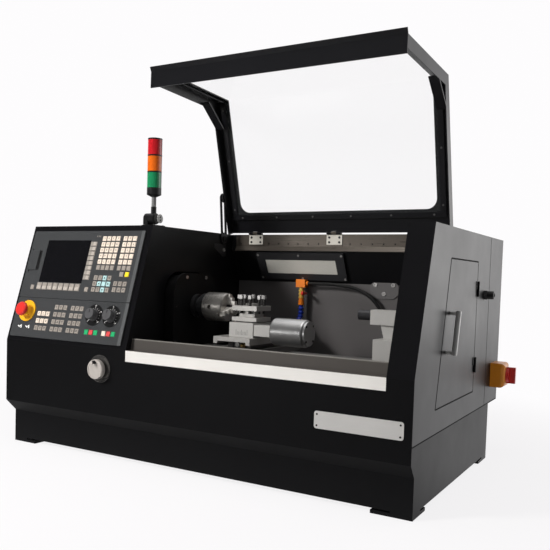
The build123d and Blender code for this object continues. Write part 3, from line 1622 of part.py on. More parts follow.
with BuildPart() as z_screw:
    z_screw_left = z_motor_right - shaft_seat
    rod((z_screw_left, screw_y, z_screw_z), "x", z_screw_radius, bed_right - z_screw_left)
save(z_screw, "z_screw")

# Turret base on the cross slide, with the worm housing on its right and a post for the head
worm_left = turret_x + turret_base_width / 2
worm_right = worm_left + worm_length
worm_front = front + worm_front_setback
head_bottom = turret_base_top + turret_neck + sliding
head_top = head_bottom + turret_floor + turret_slot + turret_roof
with BuildPart() as turret_base:
    slab(
        (turret_x - turret_base_width / 2, turret_y - turret_base_front, slide_top),
        (worm_left, turret_y + turret_base_rear, turret_base_top),
    )
    slab((worm_left, worm_front, worm_bottom), (worm_right, worm_front + worm_depth, worm_top))
    rod((turret_x, turret_y, turret_base_top), "z", turret_neck_radius, turret_neck)
    rod((turret_x, turret_y, turret_base_top), "z", turret_post_radius, head_top - turret_base_top)
save(turret_base, "turret_base")

motor_axis_y = worm_front + worm_depth / 2
motor_axis_z = (worm_bottom + worm_top) / 2
with BuildPart() as turret_motor:
    rod(
        (worm_right, motor_axis_y, motor_axis_z), "x", turret_motor_radius,
        turret_motor_length - turret_motor_cap,
    )
    fillet(turret_motor.edges().filter_by(GeomType.CIRCLE), turret_motor_round)
    rod(
        (worm_right + turret_motor_length - 2 * turret_motor_cap, motor_axis_y, motor_axis_z), "x",
        turret_motor_cap_radius, 2 * turret_motor_cap,
    )
save(turret_motor, "turret_motor")

# Turret head: a floor and a roof plate round a square core, with a slot for a tool on each side
turret_centre = (turret_x, turret_y)
clamp_places = [
    Vector(side * clamp_offset, along * clamp_spread) for side in (-1, 1) for along in (-1, 1)
] + [Vector(along * clamp_spread, side * clamp_offset) for side in (-1, 1) for along in (-1, 1)]
clamp_places = [(turret_x + place.X, turret_y + place.Y) for place in clamp_places]
slot_floor = head_bottom + turret_floor
slot_roof = slot_floor + turret_slot
with BuildPart() as turret_head:
    for bottom, size, thickness in (
        (head_bottom, turret_size, turret_floor), (slot_floor, turret_core, turret_slot),
        (slot_roof, turret_size, turret_roof),
    ):
        with BuildSketch(Plane.XY.offset(bottom)):
            with Locations(turret_centre):
                Rectangle(size, size)
        extrude(amount=thickness)
    with BuildSketch(Plane.XY.offset(slot_roof)):
        with Locations(*clamp_places):
            Circle(clamp_screw_radius + running)
    extrude(amount=turret_roof, mode=Mode.SUBTRACT)
    rod((*turret_centre, head_top), "z", turret_cap_radius, turret_cap_height)
    rod(
        (*turret_centre, head_bottom), "z", turret_post_radius + running,
        head_top - head_bottom, Mode.SUBTRACT,
    )
save(turret_head, "turret_head")

with BuildPart() as turret_screws:
    for place in clamp_places:
        shank_bottom = slot_roof - clamp_screw_reach
        shank_top = head_top + clamp_screw_rise
        rod((*place, shank_bottom), "z", clamp_screw_radius, shank_top - shank_bottom)
        slab(
            (place[0] - clamp_head / 2, place[1] - clamp_head / 2, shank_top),
            (place[0] + clamp_head / 2, place[1] + clamp_head / 2, shank_top + clamp_head_height),
        )
save(turret_screws, "turret_screws")

# Tailstock: base, tapering web and barrel, bored for the quill
barrel_left = left + tail_barrel_from_left
tail_right = left + tail_rear_from_left
tail_base_left = left + tail_base_from_left
tail_bottom = bed_top + sliding
tail_base_top = tail_bottom + tail_base_height
barrel_bottom = spindle_z - tail_barrel_down
quill_left = barrel_left - quill_reach
quill_right = quill_left + quill_length
with BuildPart() as tailstock:
    slab(
        (tail_base_left, axis_y - tail_base_width / 2, tail_bottom),
        (tail_right, axis_y + tail_base_width / 2, tail_base_top),
    )
    with BuildSketch(Plane.XZ.offset(-axis_y)):
        with BuildLine():
            Polyline(
                (tail_base_left + tail_web_bottom_inset, tail_base_top),
                (tail_base_left + tail_web_top_inset, barrel_bottom), (tail_right, barrel_bottom),
                (tail_right, tail_base_top), close=True,
            )
        make_face()
    extrude(amount=tail_web_width / 2, both=True)
    slab(
        (barrel_left, axis_y - tail_barrel_width / 2, barrel_bottom),
        (tail_right, axis_y + tail_barrel_width / 2, spindle_z + tail_barrel_up),
    )
    rod(
        (barrel_left - overrun, axis_y, spindle_z), "x", quill_radius + running,
        tail_right - tail_shaft_length - barrel_left + overrun, Mode.SUBTRACT,
    )
    rod(
        (tail_right - tail_shaft_length - overrun, axis_y, spindle_z), "x", tail_shaft_radius + running,
        tail_shaft_length + 2 * overrun, Mode.SUBTRACT,
    )
save(tailstock, "tailstock")

with BuildPart() as tail_quill:
    quill_end = min(quill_right, tail_right - tail_shaft_length)
    rod((quill_left, axis_y, spindle_z), "x", quill_radius, quill_end - quill_left)
    with Locations(Location((quill_left + quill_socket_depth / 2, axis_y, spindle_z), TURN["x"])):
        Cone(quill_socket_radius, quill_socket_radius / 2, quill_socket_depth, mode=Mode.SUBTRACT)
    slab(
        (quill_left + overrun, axis_y - quill_slot_width / 2, spindle_z + quill_radius - quill_slot_depth),
        (quill_end + overrun, axis_y + quill_slot_width / 2, spindle_z + quill_radius + overrun),
        Mode.SUBTRACT,
    )
save(tail_quill, "tail_quill")

tail_wheel_left = tail_right + tail_wheel_gap
with BuildPart() as tail_handwheel:
    with BuildSketch(Plane.YZ.offset(tail_wheel_left)):
        with Locations((axis_y, spindle_z)):
            Circle(tail_wheel_radius)
            Circle(tail_wheel_radius - tail_wheel_rim, mode=Mode.SUBTRACT)
            Circle(tail_wheel_hub_radius)
            with PolarLocations((tail_wheel_radius - tail_wheel_rim / 2) / 2, tail_wheel_spokes):
                Rectangle(tail_wheel_radius - tail_wheel_rim / 2, tail_spoke_width)
    extrude(amount=tail_wheel_thickness)
    rod(
        (tail_right - tail_shaft_length, axis_y, spindle_z), "x", tail_shaft_radius,
        tail_shaft_length + tail_wheel_gap,
    )
    rod(
        (tail_wheel_left + tail_wheel_thickness, axis_y + tail_wheel_radius - tail_wheel_rim, spindle_z),
        "x",
        tail_crank_radius, tail_crank_length,
    )
save(tail_handwheel, "tail_handwheel")

# Coolant valve: a block on an arm from the wall, with a side port, a beaded joint and a nut below it
valve_bottom = valve_z - valve_height / 2
hose_start_x = valve_x + valve_width / 2 + port_length
joint_bottom = valve_bottom - joint_length
nut_bottom = joint_bottom - nut_length
lever_z = valve_bottom - lever_drop
with BuildPart() as coolant_valve:
    slab(
        (valve_x - valve_width / 2, valve_y - valve_depth / 2, valve_bottom),
        (valve_x + valve_width / 2, valve_y + valve_depth / 2, valve_bottom + valve_height),
    )
    slab(
        (valve_x - valve_arm_height / 2, valve_y, valve_z - valve_arm_drop - valve_arm_height / 2),
        (valve_x + valve_arm_height / 2, wall_y, valve_z - valve_arm_drop + valve_arm_height / 2),
    )
    rod((valve_x, valve_y, joint_bottom), "z", joint_radius, joint_length)
    for bead in range(3):
        rod(
            (valve_x, valve_y, joint_bottom + (bead + 1) * joint_length / 4 - joint_bead), "z",
            joint_radius + joint_bead, 2 * joint_bead,
        )
    rod((valve_x, valve_y, nut_bottom), "z", nut_radius, nut_length)
    rod((valve_x, valve_y, lever_z), "x", joint_radius - joint_bead, joint_radius + 2 * joint_bead)
    rod((valve_x + valve_width / 2, valve_y, valve_z), "x", port_radius, port_length)
    rod(
        (valve_x + joint_bead, valve_y, lever_z), "x", lever_radius + running,
        joint_radius + joint_bead + overrun, Mode.SUBTRACT,
    )
save(coolant_valve, "coolant_valve")

with BuildPart() as coolant_lever:
    lever_start = valve_x + joint_bead + clear
    lever_face = valve_x + joint_radius + 2 * joint_bead + clear
    rod((lever_start, valve_y, lever_z), "x", lever_radius, lever_face + lever_stub_length - lever_start)
    slab(
        (lever_face, valve_y - lever_length, lever_z - lever_radius),
        (lever_face + lever_stub_length, valve_y + lever_radius, lever_z + lever_radius),
    )
    rod(
        (lever_face, valve_y - lever_length, lever_z), "x", lever_knob_radius, lever_stub_length,
    )
save(coolant_lever, "coolant_lever")

# Jointed nozzle hose: bead-shaped segments, straight down and then bending towards the work
with BuildPart() as hose_segment:
    with BuildSketch(Plane.XZ):
        with BuildLine():
            Polyline(
                (0, -segment_bite), (segment_neck, -segment_bite), (segment_neck, segment_length / 4),
                (segment_radius, segment_length / 2), (segment_radius, 3 * segment_length / 4),
                (segment_mouth, segment_length), (0, segment_length), close=True,
            )
        make_face()
    revolve(axis=Axis.Z)
with BuildPart() as coolant_nozzle:
    place = Vector(valve_x, valve_y, nut_bottom - segment_bite)
    turned = 0.0
    for segment in range(segment_straight + segment_curved + segment_level):
        if segment_straight <= segment < segment_straight + segment_curved:
            turned += segment_turn
        run = Vector(0, -sin(radians(turned)), -cos(radians(turned)))
        with Locations(Plane(origin=place, x_dir=(1, 0, 0), z_dir=run)):
            add(hose_segment.part)
        place = place + run * segment_length
    with Locations(Plane(origin=place, x_dir=(1, 0, 0), z_dir=run)):
        Cylinder(segment_neck, segment_bite, align=(Align.CENTER, Align.CENTER, Align.CENTER))
        Cone(segment_mouth, nozzle_tip_radius, nozzle_tip_length, align=ON_AXIS)
    with Locations(Plane(origin=place + run * (nozzle_tip_length / 2), x_dir=(1, 0, 0), z_dir=run)):
        Cylinder(nozzle_bore_radius, nozzle_tip_length, align=ON_AXIS, mode=Mode.SUBTRACT)
save(coolant_nozzle, "coolant_nozzle")

# Supply hose: held between the valve and the wall fitting, straight runs with large arcs
hose_span = Vector(hose_end_x - hose_start_x, hose_end_y - valve_y, hose_top - valve_z)
route = [
    Vector(hose_start_x + a * hose_span.X, valve_y + b * hose_span.Y, valve_z + c * hose_span.Z)
    for a, b, c in zip(hose_along_shares, hose_back_shares, hose_drop_shares)
]
runs = [b - a for a, b in zip(route, route[1:])]
bends = []
for first, second in zip(runs, runs[1:]):
    half_turn = radians(first.get_angle(second)) / 2
    bends.append(hose_bend_share * min(first.length, second.length) * cos(half_turn) / sin(half_turn))
with BuildPart() as coolant_hose:
    with BuildLine() as hose_line:
        FilletPolyline(*route, radius=bends)
    with BuildSketch(Plane(origin=route[0], z_dir=runs[0])):
        Circle(hose_radius)
    sweep(path=hose_line.wire())
save(coolant_hose, "coolant_hose")
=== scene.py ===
"""Dressed scene of a benchtop lathe in a sheet-metal cabinet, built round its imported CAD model."""

import logging
import math
from dataclasses import dataclass, field
from enum import Enum
from typing import Iterable, Sequence

import bmesh
import bpy
from mathutils import Matrix, Vector


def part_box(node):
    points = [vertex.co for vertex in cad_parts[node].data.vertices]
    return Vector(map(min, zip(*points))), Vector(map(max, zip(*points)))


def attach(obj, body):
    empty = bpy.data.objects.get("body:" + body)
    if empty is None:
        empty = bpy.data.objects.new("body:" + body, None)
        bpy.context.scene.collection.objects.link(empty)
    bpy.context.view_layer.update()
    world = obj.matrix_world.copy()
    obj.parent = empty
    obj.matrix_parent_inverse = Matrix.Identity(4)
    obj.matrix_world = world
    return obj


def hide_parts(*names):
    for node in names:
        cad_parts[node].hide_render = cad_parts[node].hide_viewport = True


logging.basicConfig(level=logging.INFO, format="%(levelname)s %(message)s")
log = logging.getLogger("lathe")

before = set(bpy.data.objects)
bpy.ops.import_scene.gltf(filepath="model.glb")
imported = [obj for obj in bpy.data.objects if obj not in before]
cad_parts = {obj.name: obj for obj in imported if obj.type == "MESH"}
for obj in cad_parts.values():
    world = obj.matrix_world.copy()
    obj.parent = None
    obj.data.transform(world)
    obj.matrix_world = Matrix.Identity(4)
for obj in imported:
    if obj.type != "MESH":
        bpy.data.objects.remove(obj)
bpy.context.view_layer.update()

Point = tuple[float, float, float]
Color = tuple[float, float, float]
LEFT, FRONT = -0.610, -0.349
BUMP_DISTANCE = 0.001
COAT_ROUGHNESS = 0.12
RIGHT, BACK, UP = Vector((1, 0, 0)), Vector((0, 1, 0)), Vector((0, 0, 1))


def at(x: float, y: float, z: float) -> Vector:
    """Place a point given in millimetres from the cabinet's left end, front and floor.

    Args:
        x: distance from the left end.
        y: distance behind the front apron.
        z: height above the floor.

    Returns:
        The point in metres, in the frame of the part.
    """
    return Vector((LEFT + x / 1000, FRONT + y / 1000, z / 1000))


class Surface(Enum):
    """The kinds of surface texture that a finish can have."""

    COATED = "coated"
    MACHINED = "machined"
    CAST = "cast"
    MOULDED = "moulded"


@dataclass(frozen=True)
class Bands:
    """Three colours up the machine's height, and the two heights between them."""

    low: Color
    middle: Color
    high: Color
    first_split: float
    second_split: float


@dataclass(frozen=True)
class Finish:
    """One finish of the machine and the values of its shader."""

    name: str
    color: Color
    surface: Surface
    roughness: float = 0.4
    spread: float = 0.08
    metallic: float = 0.0
    scale: float = 400.0
    depth: float = 0.04
    tint: float = 0.08
    lines: Point = (1.0, 1.0, 1.0)
    coat: float = 0.0
    specular: float = 0.5
    alpha: float = 1.0
    bands: Bands | None = None


class GroupShop:
    """Shader node groups for the effects that several finishes share."""

    def __init__(self) -> None:
        """Start with no groups built."""
        self.built: dict[str, bpy.types.NodeTree] = {}

    def _new(self, name: str, inputs: Sequence[tuple[str, str, object]],
             outputs: Sequence[tuple[str, str]]) -> tuple[bpy.types.NodeTree, bpy.types.Node, bpy.types.Node]:
        """Make an empty group with named sockets.

        Args:
            name: name of the group.
            inputs: socket name, socket type and default of each input.
            outputs: socket name and socket type of each output.

        Returns:
            The group's tree, its input node and its output node.
        """
        tree = bpy.data.node_groups.new(name, "ShaderNodeTree")
        for label, kind, default in inputs:
            socket = tree.interface.new_socket(label, in_out="INPUT", socket_type=kind)
            socket.default_value = default
        for label, kind in outputs:
            tree.interface.new_socket(label, in_out="OUTPUT", socket_type=kind)
        self.built[name] = tree
        return tree, tree.nodes.new("NodeGroupInput"), tree.nodes.new("NodeGroupOutput")

    def grain(self) -> bpy.types.NodeTree:
        """Fine grain of paint, plastic or a casting: a height, a roughness and a mottled tint."""
        if "surface_grain" in self.built:
            return self.built["surface_grain"]
        tree, ins, outs = self._new(
            "surface_grain",
            [("Scale", "NodeSocketFloat", 400.0), ("Stretch", "NodeSocketVector", (1.0, 1.0, 1.0)),
             ("Roughness", "NodeSocketFloat", 0.4), ("Spread", "NodeSocketFloat", 0.1),
             ("Color", "NodeSocketColor", (0.5, 0.5, 0.5, 1.0)), ("Tint", "NodeSocketFloat", 0.1)],
            [("Color", "NodeSocketColor"), ("Roughness", "NodeSocketFloat"), ("Height", "NodeSocketFloat")],
        )
        link = tree.links.new
        coords = tree.nodes.new("ShaderNodeTexCoord")
        stretch = tree.nodes.new("ShaderNodeVectorMath")
        stretch.operation = "MULTIPLY"
        link(coords.outputs["Object"], stretch.inputs[0])
        link(ins.outputs["Stretch"], stretch.inputs[1])
        fine = tree.nodes.new("ShaderNodeTexNoise")
        fine.inputs["Detail"].default_value = 3.0
        link(stretch.outputs[0], fine.inputs["Vector"])
        link(ins.outputs["Scale"], fine.inputs["Scale"])
        broad = tree.nodes.new("ShaderNodeTexNoise")
        broad.inputs["Scale"].default_value = 9.0
        broad.inputs["Detail"].default_value = 4.0
        link(coords.outputs["Object"], broad.inputs["Vector"])
        rough = tree.nodes.new("ShaderNodeMapRange")
        rough.inputs["From Min"].default_value = 0.3
        rough.inputs["From Max"].default_value = 0.7
        low = tree.nodes.new("ShaderNodeMath")
        low.operation = "SUBTRACT"
        link(ins.outputs["Roughness"], low.inputs[0])
        link(ins.outputs["Spread"], low.inputs[1])
        high = tree.nodes.new("ShaderNodeMath")
        high.operation = "ADD"
        link(ins.outputs["Roughness"], high.inputs[0])
        link(ins.outputs["Spread"], high.inputs[1])
        mixed = tree.nodes.new("ShaderNodeMath")
        mixed.operation = "MULTIPLY_ADD"
        mixed.inputs[1].default_value = 0.5
        half = tree.nodes.new("ShaderNodeMath")
        half.operation = "MULTIPLY"
        half.inputs[1].default_value = 0.5
        link(fine.outputs["Fac"], half.inputs[0])
        link(broad.outputs["Fac"], mixed.inputs[0])
        link(half.outputs[0], mixed.inputs[2])
        link(mixed.outputs[0], rough.inputs["Value"])
        link(low.outputs[0], rough.inputs["To Min"])
        link(high.outputs[0], rough.inputs["To Max"])
        shade = tree.nodes.new("ShaderNodeMapRange")
        shade.inputs["From Min"].default_value = 0.25
        shade.inputs["From Max"].default_value = 0.75
        shade.inputs["To Max"].default_value = 1.0
        darkest = tree.nodes.new("ShaderNodeMath")
        darkest.operation = "SUBTRACT"
        darkest.inputs[0].default_value = 1.0
        link(ins.outputs["Tint"], darkest.inputs[1])
        link(darkest.outputs[0], shade.inputs["To Min"])
        link(mixed.outputs[0], shade.inputs["Value"])
        tinted = tree.nodes.new("ShaderNodeVectorMath")
        tinted.operation = "SCALE"
        link(ins.outputs["Color"], tinted.inputs[0])
        link(shade.outputs[0], tinted.inputs["Scale"])
        link(tinted.outputs[0], outs.inputs["Color"])
        link(rough.outputs[0], outs.inputs["Roughness"])
        link(fine.outputs["Fac"], outs.inputs["Height"])
        return tree

    def bands(self) -> bpy.types.NodeTree:
        """Hard bands of three colours up the machine's height."""
        if "height_bands" in self.built:
            return self.built["height_bands"]
        tree, ins, outs = self._new(
            "height_bands",
            [("Low", "NodeSocketColor", (0, 0, 0, 1)), ("Middle", "NodeSocketColor", (0, 0, 0, 1)),
             ("High", "NodeSocketColor", (0, 0, 0, 1)), ("First Split", "NodeSocketFloat", 0.0),
             ("Second Split", "NodeSocketFloat", 0.0)],
            [("Color", "NodeSocketColor")],
        )
        link = tree.links.new
        coords = tree.nodes.new("ShaderNodeTexCoord")
        axes = tree.nodes.new("ShaderNodeSeparateXYZ")
        link(coords.outputs["Object"], axes.inputs[0])
        previous = ins.outputs["Low"]
        for color, split in (("Middle", "First Split"), ("High", "Second Split")):
            above = tree.nodes.new("ShaderNodeMath")
            above.operation = "GREATER_THAN"
            link(axes.outputs["Z"], above.inputs[0])
            link(ins.outputs[split], above.inputs[1])
            mix = tree.nodes.new("ShaderNodeMix")
            mix.data_type = "RGBA"
            link(above.outputs[0], mix.inputs["Factor"])
            link(previous, mix.inputs["A"])
            link(ins.outputs[color], mix.inputs["B"])
            previous = mix.outputs["Result"]
        link(previous, outs.inputs["Color"])
        return tree


class FinishShop:
    """Builds each finish once, as a node material."""

    def __init__(self, groups: GroupShop) -> None:
        """Keep the groups that the finishes share.

        Args:
            groups: the shop that builds shader node groups.
        """
        self.groups = groups
        self.built: dict[str, bpy.types.Material] = {}

    def make(self, finish: Finish) -> bpy.types.Material:
        """Build a finish, or return it if it is built already.

        Args:
            finish: the values of the finish.

        Returns:
            The material.
        """
        if finish.name in self.built:
            return self.built[finish.name]
        material = bpy.data.materials.new(finish.name)
        material.use_nodes = True
        tree = material.node_tree
        link = tree.links.new
        shader = tree.nodes["Principled BSDF"]
        grain = tree.nodes.new("ShaderNodeGroup")
        grain.node_tree = self.groups.grain()
        values = {
            "Scale": finish.scale, "Stretch": finish.lines, "Roughness": finish.roughness,
            "Spread": finish.spread, "Color": (*finish.color, 1.0), "Tint": finish.tint,
        }
        for label, value in values.items():
            grain.inputs[label].default_value = value
        if finish.bands:
            banded = tree.nodes.new("ShaderNodeGroup")
            banded.node_tree = self.groups.bands()
            colors = {"Low": finish.bands.low, "Middle": finish.bands.middle, "High": finish.bands.high}
            for label, color in colors.items():
                banded.inputs[label].default_value = (*color, 1.0)
            banded.inputs["First Split"].default_value = finish.bands.first_split
            banded.inputs["Second Split"].default_value = finish.bands.second_split
            link(banded.outputs["Color"], grain.inputs["Color"])
        if finish.tint:
            link(grain.outputs["Color"], shader.inputs["Base Color"])
        else:
            shader.inputs["Base Color"].default_value = (*finish.color, 1.0)
        if finish.spread:
            link(grain.outputs["Roughness"], shader.inputs["Roughness"])
        else:
            shader.inputs["Roughness"].default_value = finish.roughness
        if finish.depth:
            bump = tree.nodes.new("ShaderNodeBump")
            bump.inputs["Strength"].default_value = finish.depth
            bump.inputs["Distance"].default_value = BUMP_DISTANCE
            link(grain.outputs["Height"], bump.inputs["Height"])
            link(bump.outputs["Normal"], shader.inputs["Normal"])
        shader.inputs["Metallic"].default_value = finish.metallic
        shader.inputs["Specular IOR Level"].default_value = finish.specular
        shader.inputs["Coat Weight"].default_value = finish.coat
        shader.inputs["Coat Roughness"].default_value = COAT_ROUGHNESS
        shader.inputs["Alpha"].default_value = finish.alpha
        material.diffuse_color = (*finish.color, 1.0)
        self.built[finish.name] = material
        log.info("finish %s, %s", finish.name, finish.surface.value)
        return material


LENS_RED, LENS_AMBER, LENS_GREEN = (0.5, 0.012, 0.018), (0.72, 0.13, 0.008), (0.012, 0.22, 0.085)
POLE_BLACK, SOFFIT_BLACK, HEAD_HIGHLIGHT_GREY = (0.012, 0.012, 0.013), (0.005, 0.005, 0.006), (0.42, 0.41, 0.4)
VALVE_ORANGE = (0.78, 0.2, 0.012)
MACHINE_TOP = 0.9

CABINET_BLACK = Finish("cabinet_black", (0.0048, 0.0047, 0.0056), Surface.COATED, 0.38, 0.05, scale=900.0,
                       depth=0.03, specular=0.25)
APRON_BLACK = Finish("apron_black", (0.0052, 0.0052, 0.0058), Surface.COATED, 0.42, 0.05, scale=900.0,
                     depth=0.03, specular=0.14)
GUARD_BLACK = Finish("guard_black", (0.007, 0.007, 0.0085), Surface.COATED, 0.42, 0.06, scale=900.0,
                     depth=0.03)
CHAMBER_BLACK = Finish("chamber_black", (0.005, 0.005, 0.006), Surface.COATED, 0.5, 0.1, scale=500.0,
                       depth=0.04, specular=0.25)
# Below 488 mm the wall is grey, brighter than its own paint, as painted light from the work lamp; above it
# the soffit is black.
WALL_PAINT_AND_LAMPLIGHT = Finish("wall_paint_and_lamplight", (0.06, 0.055, 0.058), Surface.COATED, 0.5, 0.08, scale=500.0, depth=0.04,
                    tint=0.2,
                    bands=Bands((0.1, 0.094, 0.094), SOFFIT_BLACK, SOFFIT_BLACK, 0.488, MACHINE_TOP))
# Front sill: near-white below 299.5 mm; the dark band up to 327 mm is a painted reflection of the dark
# surroundings in the upstand's leaning face; mid grey above.
BRIGHT_SHEET = Finish("bright_sheet", (0.78, 0.75, 0.71), Surface.MACHINED, 0.42, 0.08, metallic=0.3,
                      scale=300.0, lines=(0.04, 3.0, 3.0), depth=0.03, tint=0.1,
                      bands=Bands((0.9, 0.88, 0.84), (0.085, 0.077, 0.07), (0.24, 0.23, 0.21), 0.2995, 0.327))
HINGE_STRIP = Finish("hinge_strip", (0.15, 0.13, 0.11), Surface.MACHINED, 0.3, 0.08, metallic=0.6,
                     scale=260.0, lines=(0.04, 4.0, 4.0), depth=0.03, tint=0.2)
LEAF_BRIGHT = Finish("hinge_leaf", (0.72, 0.69, 0.62), Surface.MACHINED, 0.4, 0.06, metallic=0.3,
                     scale=300.0, lines=(2.0, 0.1, 2.0), depth=0.03, tint=0.1)
MACHINED = Finish("machined_steel", (0.6, 0.585, 0.56), Surface.MACHINED, 0.36, 0.1, metallic=0.7,
                  scale=500.0, lines=(0.3, 2.0, 2.0), depth=0.04, tint=0.2)
TURNED = Finish("turned_steel", (0.5, 0.48, 0.45), Surface.MACHINED, 0.3, 0.08, metallic=0.88, scale=400.0,
                lines=(6.0, 0.2, 0.2), depth=0.05, tint=0.2)
JAW_STEEL = Finish("jaw_steel", (0.66, 0.64, 0.6), Surface.MACHINED, 0.3, 0.08, metallic=0.5, scale=400.0,
                   depth=0.04)
BLACKENED = Finish("blackened_steel", (0.05, 0.05, 0.053), Surface.MACHINED, 0.36, 0.1, metallic=0.6,
                   depth=0.04)
DARK_CAST = Finish("dark_casting", (0.006, 0.006, 0.0065), Surface.CAST, 0.5, 0.1, scale=240.0, depth=0.12,
                   specular=0.2)
BED_CAST = Finish("bed_casting", (0.16, 0.155, 0.15), Surface.CAST, 0.42, 0.12, metallic=0.4, scale=240.0,
                  depth=0.1)
PALE_CAST = Finish("pale_casting", (0.52, 0.51, 0.49), Surface.CAST, 0.45, 0.1, metallic=0.35, scale=260.0,
                   depth=0.08)
SATIN_ALLOY = Finish("satin_alloy", (0.5, 0.5, 0.49), Surface.MACHINED, 0.36, 0.08, metallic=0.5,
                     scale=500.0, lines=(0.2, 1.5, 1.5), depth=0.03, tint=0.14)
MOTOR_SHELL = Finish("motor_shell", (0.6, 0.6, 0.6), Surface.MACHINED, 0.34, 0.08, metallic=0.88,
                     scale=500.0, lines=(0.2, 1.5, 1.5), depth=0.03, tint=0.16)
WHEEL_FACE = Finish("wheel_face", (0.58, 0.54, 0.5), Surface.MACHINED, 0.34, 0.05, metallic=0.35,
                    scale=500.0, depth=0.02, tint=0.08)
CHROME_DARK = Finish("bezel_chrome", (0.16, 0.155, 0.15), Surface.MACHINED, 0.22, 0.05, metallic=0.8,
                     depth=0.02)
PANEL_GREY = Finish("panel_grey", (0.042, 0.044, 0.046), Surface.MOULDED, 0.55, 0.05, scale=1500.0,
                    depth=0.05)
PANEL_EDGE_SHEEN = Finish("panel_edge_sheen", (0.085, 0.088, 0.09), Surface.MOULDED, 0.5, 0.05, scale=1500.0, depth=0.05)
SCREEN = Finish("screen_glass", (0.004, 0.004, 0.005), Surface.MOULDED, 0.12, 0.02, scale=40.0, depth=0.0,
                tint=0.02)
KEY_CREAM = Finish("key_cream", (0.72, 0.62, 0.52), Surface.MOULDED, 0.5, 0.05, scale=900.0, tint=0.05)
KEY_PALE = Finish("key_pale", (0.4, 0.36, 0.32), Surface.MOULDED, 0.5, 0.05, scale=900.0, tint=0.05)
KEY_GREY = Finish("key_grey", (0.29, 0.26, 0.23), Surface.MOULDED, 0.5, 0.05, scale=900.0, tint=0.08)
KEY_TEAL = Finish("key_teal", (0.4, 0.6, 0.6), Surface.MOULDED, 0.5, 0.05, scale=900.0, tint=0.05)
KEY_YELLOW = Finish("key_yellow", (0.9, 0.67, 0.03), Surface.MOULDED, 0.5, 0.05, scale=900.0, tint=0.05)
KEY_GREEN = Finish("key_green", (0.02, 0.35, 0.13), Surface.MOULDED, 0.5, 0.05, scale=900.0, tint=0.05)
KEY_RED = Finish("key_red", (0.62, 0.07, 0.07), Surface.MOULDED, 0.5, 0.05, scale=900.0, tint=0.05)
INK_DARK = Finish("ink_dark", (0.03, 0.03, 0.03), Surface.MOULDED, 0.6, 0.05, tint=0.02)
INK_WHITE = Finish("ink_white", (0.8, 0.8, 0.78), Surface.MOULDED, 0.6, 0.05, tint=0.02)
STOP_YELLOW = Finish("stop_yellow", (0.82, 0.42, 0.02), Surface.MOULDED, 0.36, 0.05, scale=700.0, tint=0.06)
STOP_RED = Finish("stop_red", (0.62, 0.03, 0.025), Surface.MOULDED, 0.38, 0.05, scale=700.0, tint=0.06)
BLACK_PLASTIC = Finish("black_plastic", (0.009, 0.009, 0.0095), Surface.MOULDED, 0.42, 0.08, scale=900.0,
                       depth=0.05)
KNOB_GREY = Finish("knob_grey", (0.075, 0.075, 0.078), Surface.MOULDED, 0.5, 0.06, scale=900.0, depth=0.05)
ISOLATOR = Finish("isolator_orange", (0.78, 0.27, 0.012), Surface.MOULDED, 0.36, 0.06, scale=700.0,
                  tint=0.06)
LENSES = Finish("tower_lenses", (0.5, 0.1, 0.05), Surface.MOULDED, 0.16, 0.04, scale=60.0, depth=0.02,
                coat=0.4, tint=0.1, bands=Bands(LENS_GREEN, LENS_AMBER, LENS_RED, 0.780, 0.825))
POLE = Finish("tower_pole", (0.1, 0.1, 0.1), Surface.MOULDED, 0.4, 0.06, depth=0.03,
              bands=Bands(POLE_BLACK, (0.2, 0.2, 0.2), POLE_BLACK, 0.685, 0.712))
PANE = Finish("clear_sheet", (0.3, 0.32, 0.32), Surface.MOULDED, 0.05, 0.0, depth=0.0, tint=0.0,
              alpha=0.045)
LAMP_FRAME = Finish("lamp_frame", (0.026, 0.026, 0.028), Surface.COATED, 0.45, 0.06, scale=900.0,
                    depth=0.03)
DIFFUSER = Finish("lamp_opal", (0.56, 0.55, 0.5), Surface.MOULDED, 0.4, 0.05, scale=120.0, tint=0.08)
VALVE = Finish("valve_orange", (0.78, 0.2, 0.012), Surface.MOULDED, 0.35, 0.06, tint=0.08,
               bands=Bands(VALVE_ORANGE, (0.62, 0.4, 0.08), VALVE_ORANGE, 0.441, 0.4725))
HOSE_BLUE = Finish("hose_blue", (0.015, 0.035, 0.28), Surface.MOULDED, 0.35, 0.06, tint=0.08)
HOSE_BLACK = Finish("hose_black", (0.012, 0.012, 0.012), Surface.MOULDED, 0.45, 0.08, scale=500.0,
                    depth=0.06)
PLATE = Finish("brushed_plate", (0.7, 0.69, 0.67), Surface.MACHINED, 0.34, 0.06, metallic=0.4, scale=420.0,
               lines=(0.03, 3.0, 3.0), depth=0.03, tint=0.1)
BRACKET_GREY = Finish("bracket_grey", (0.11, 0.105, 0.105), Surface.COATED, 0.45, 0.08, scale=500.0,
                      tint=0.15)
BRASS = Finish("brass_fitting", (0.72, 0.5, 0.2), Surface.MACHINED, 0.28, 0.08, metallic=0.6, depth=0.03)
DULL_SCREW = Finish("dull_screw", (0.16, 0.155, 0.155), Surface.MACHINED, 0.36, 0.08, metallic=0.5,
                    depth=0.03)
SEAM = Finish("seam_shadow", (0.004, 0.004, 0.0045), Surface.COATED, 0.8, 0.05, specular=0.1)
# Screw heads above 442 mm are grey and those below dark: the grey is a painted highlight for the light on the
# turret screws' tops.
SCREW = Finish("bright_screw", (0.62, 0.61, 0.6), Surface.MACHINED, 0.26, 0.08, metallic=0.5, depth=0.03,
               bands=Bands((0.06, 0.058, 0.056), HEAD_HIGHLIGHT_GREY, HEAD_HIGHLIGHT_GREY, 0.4423, MACHINE_TOP))
RUBBER = Finish("belt_rubber", (0.014, 0.014, 0.014), Surface.MOULDED, 0.65, 0.08, scale=300.0, depth=0.1)

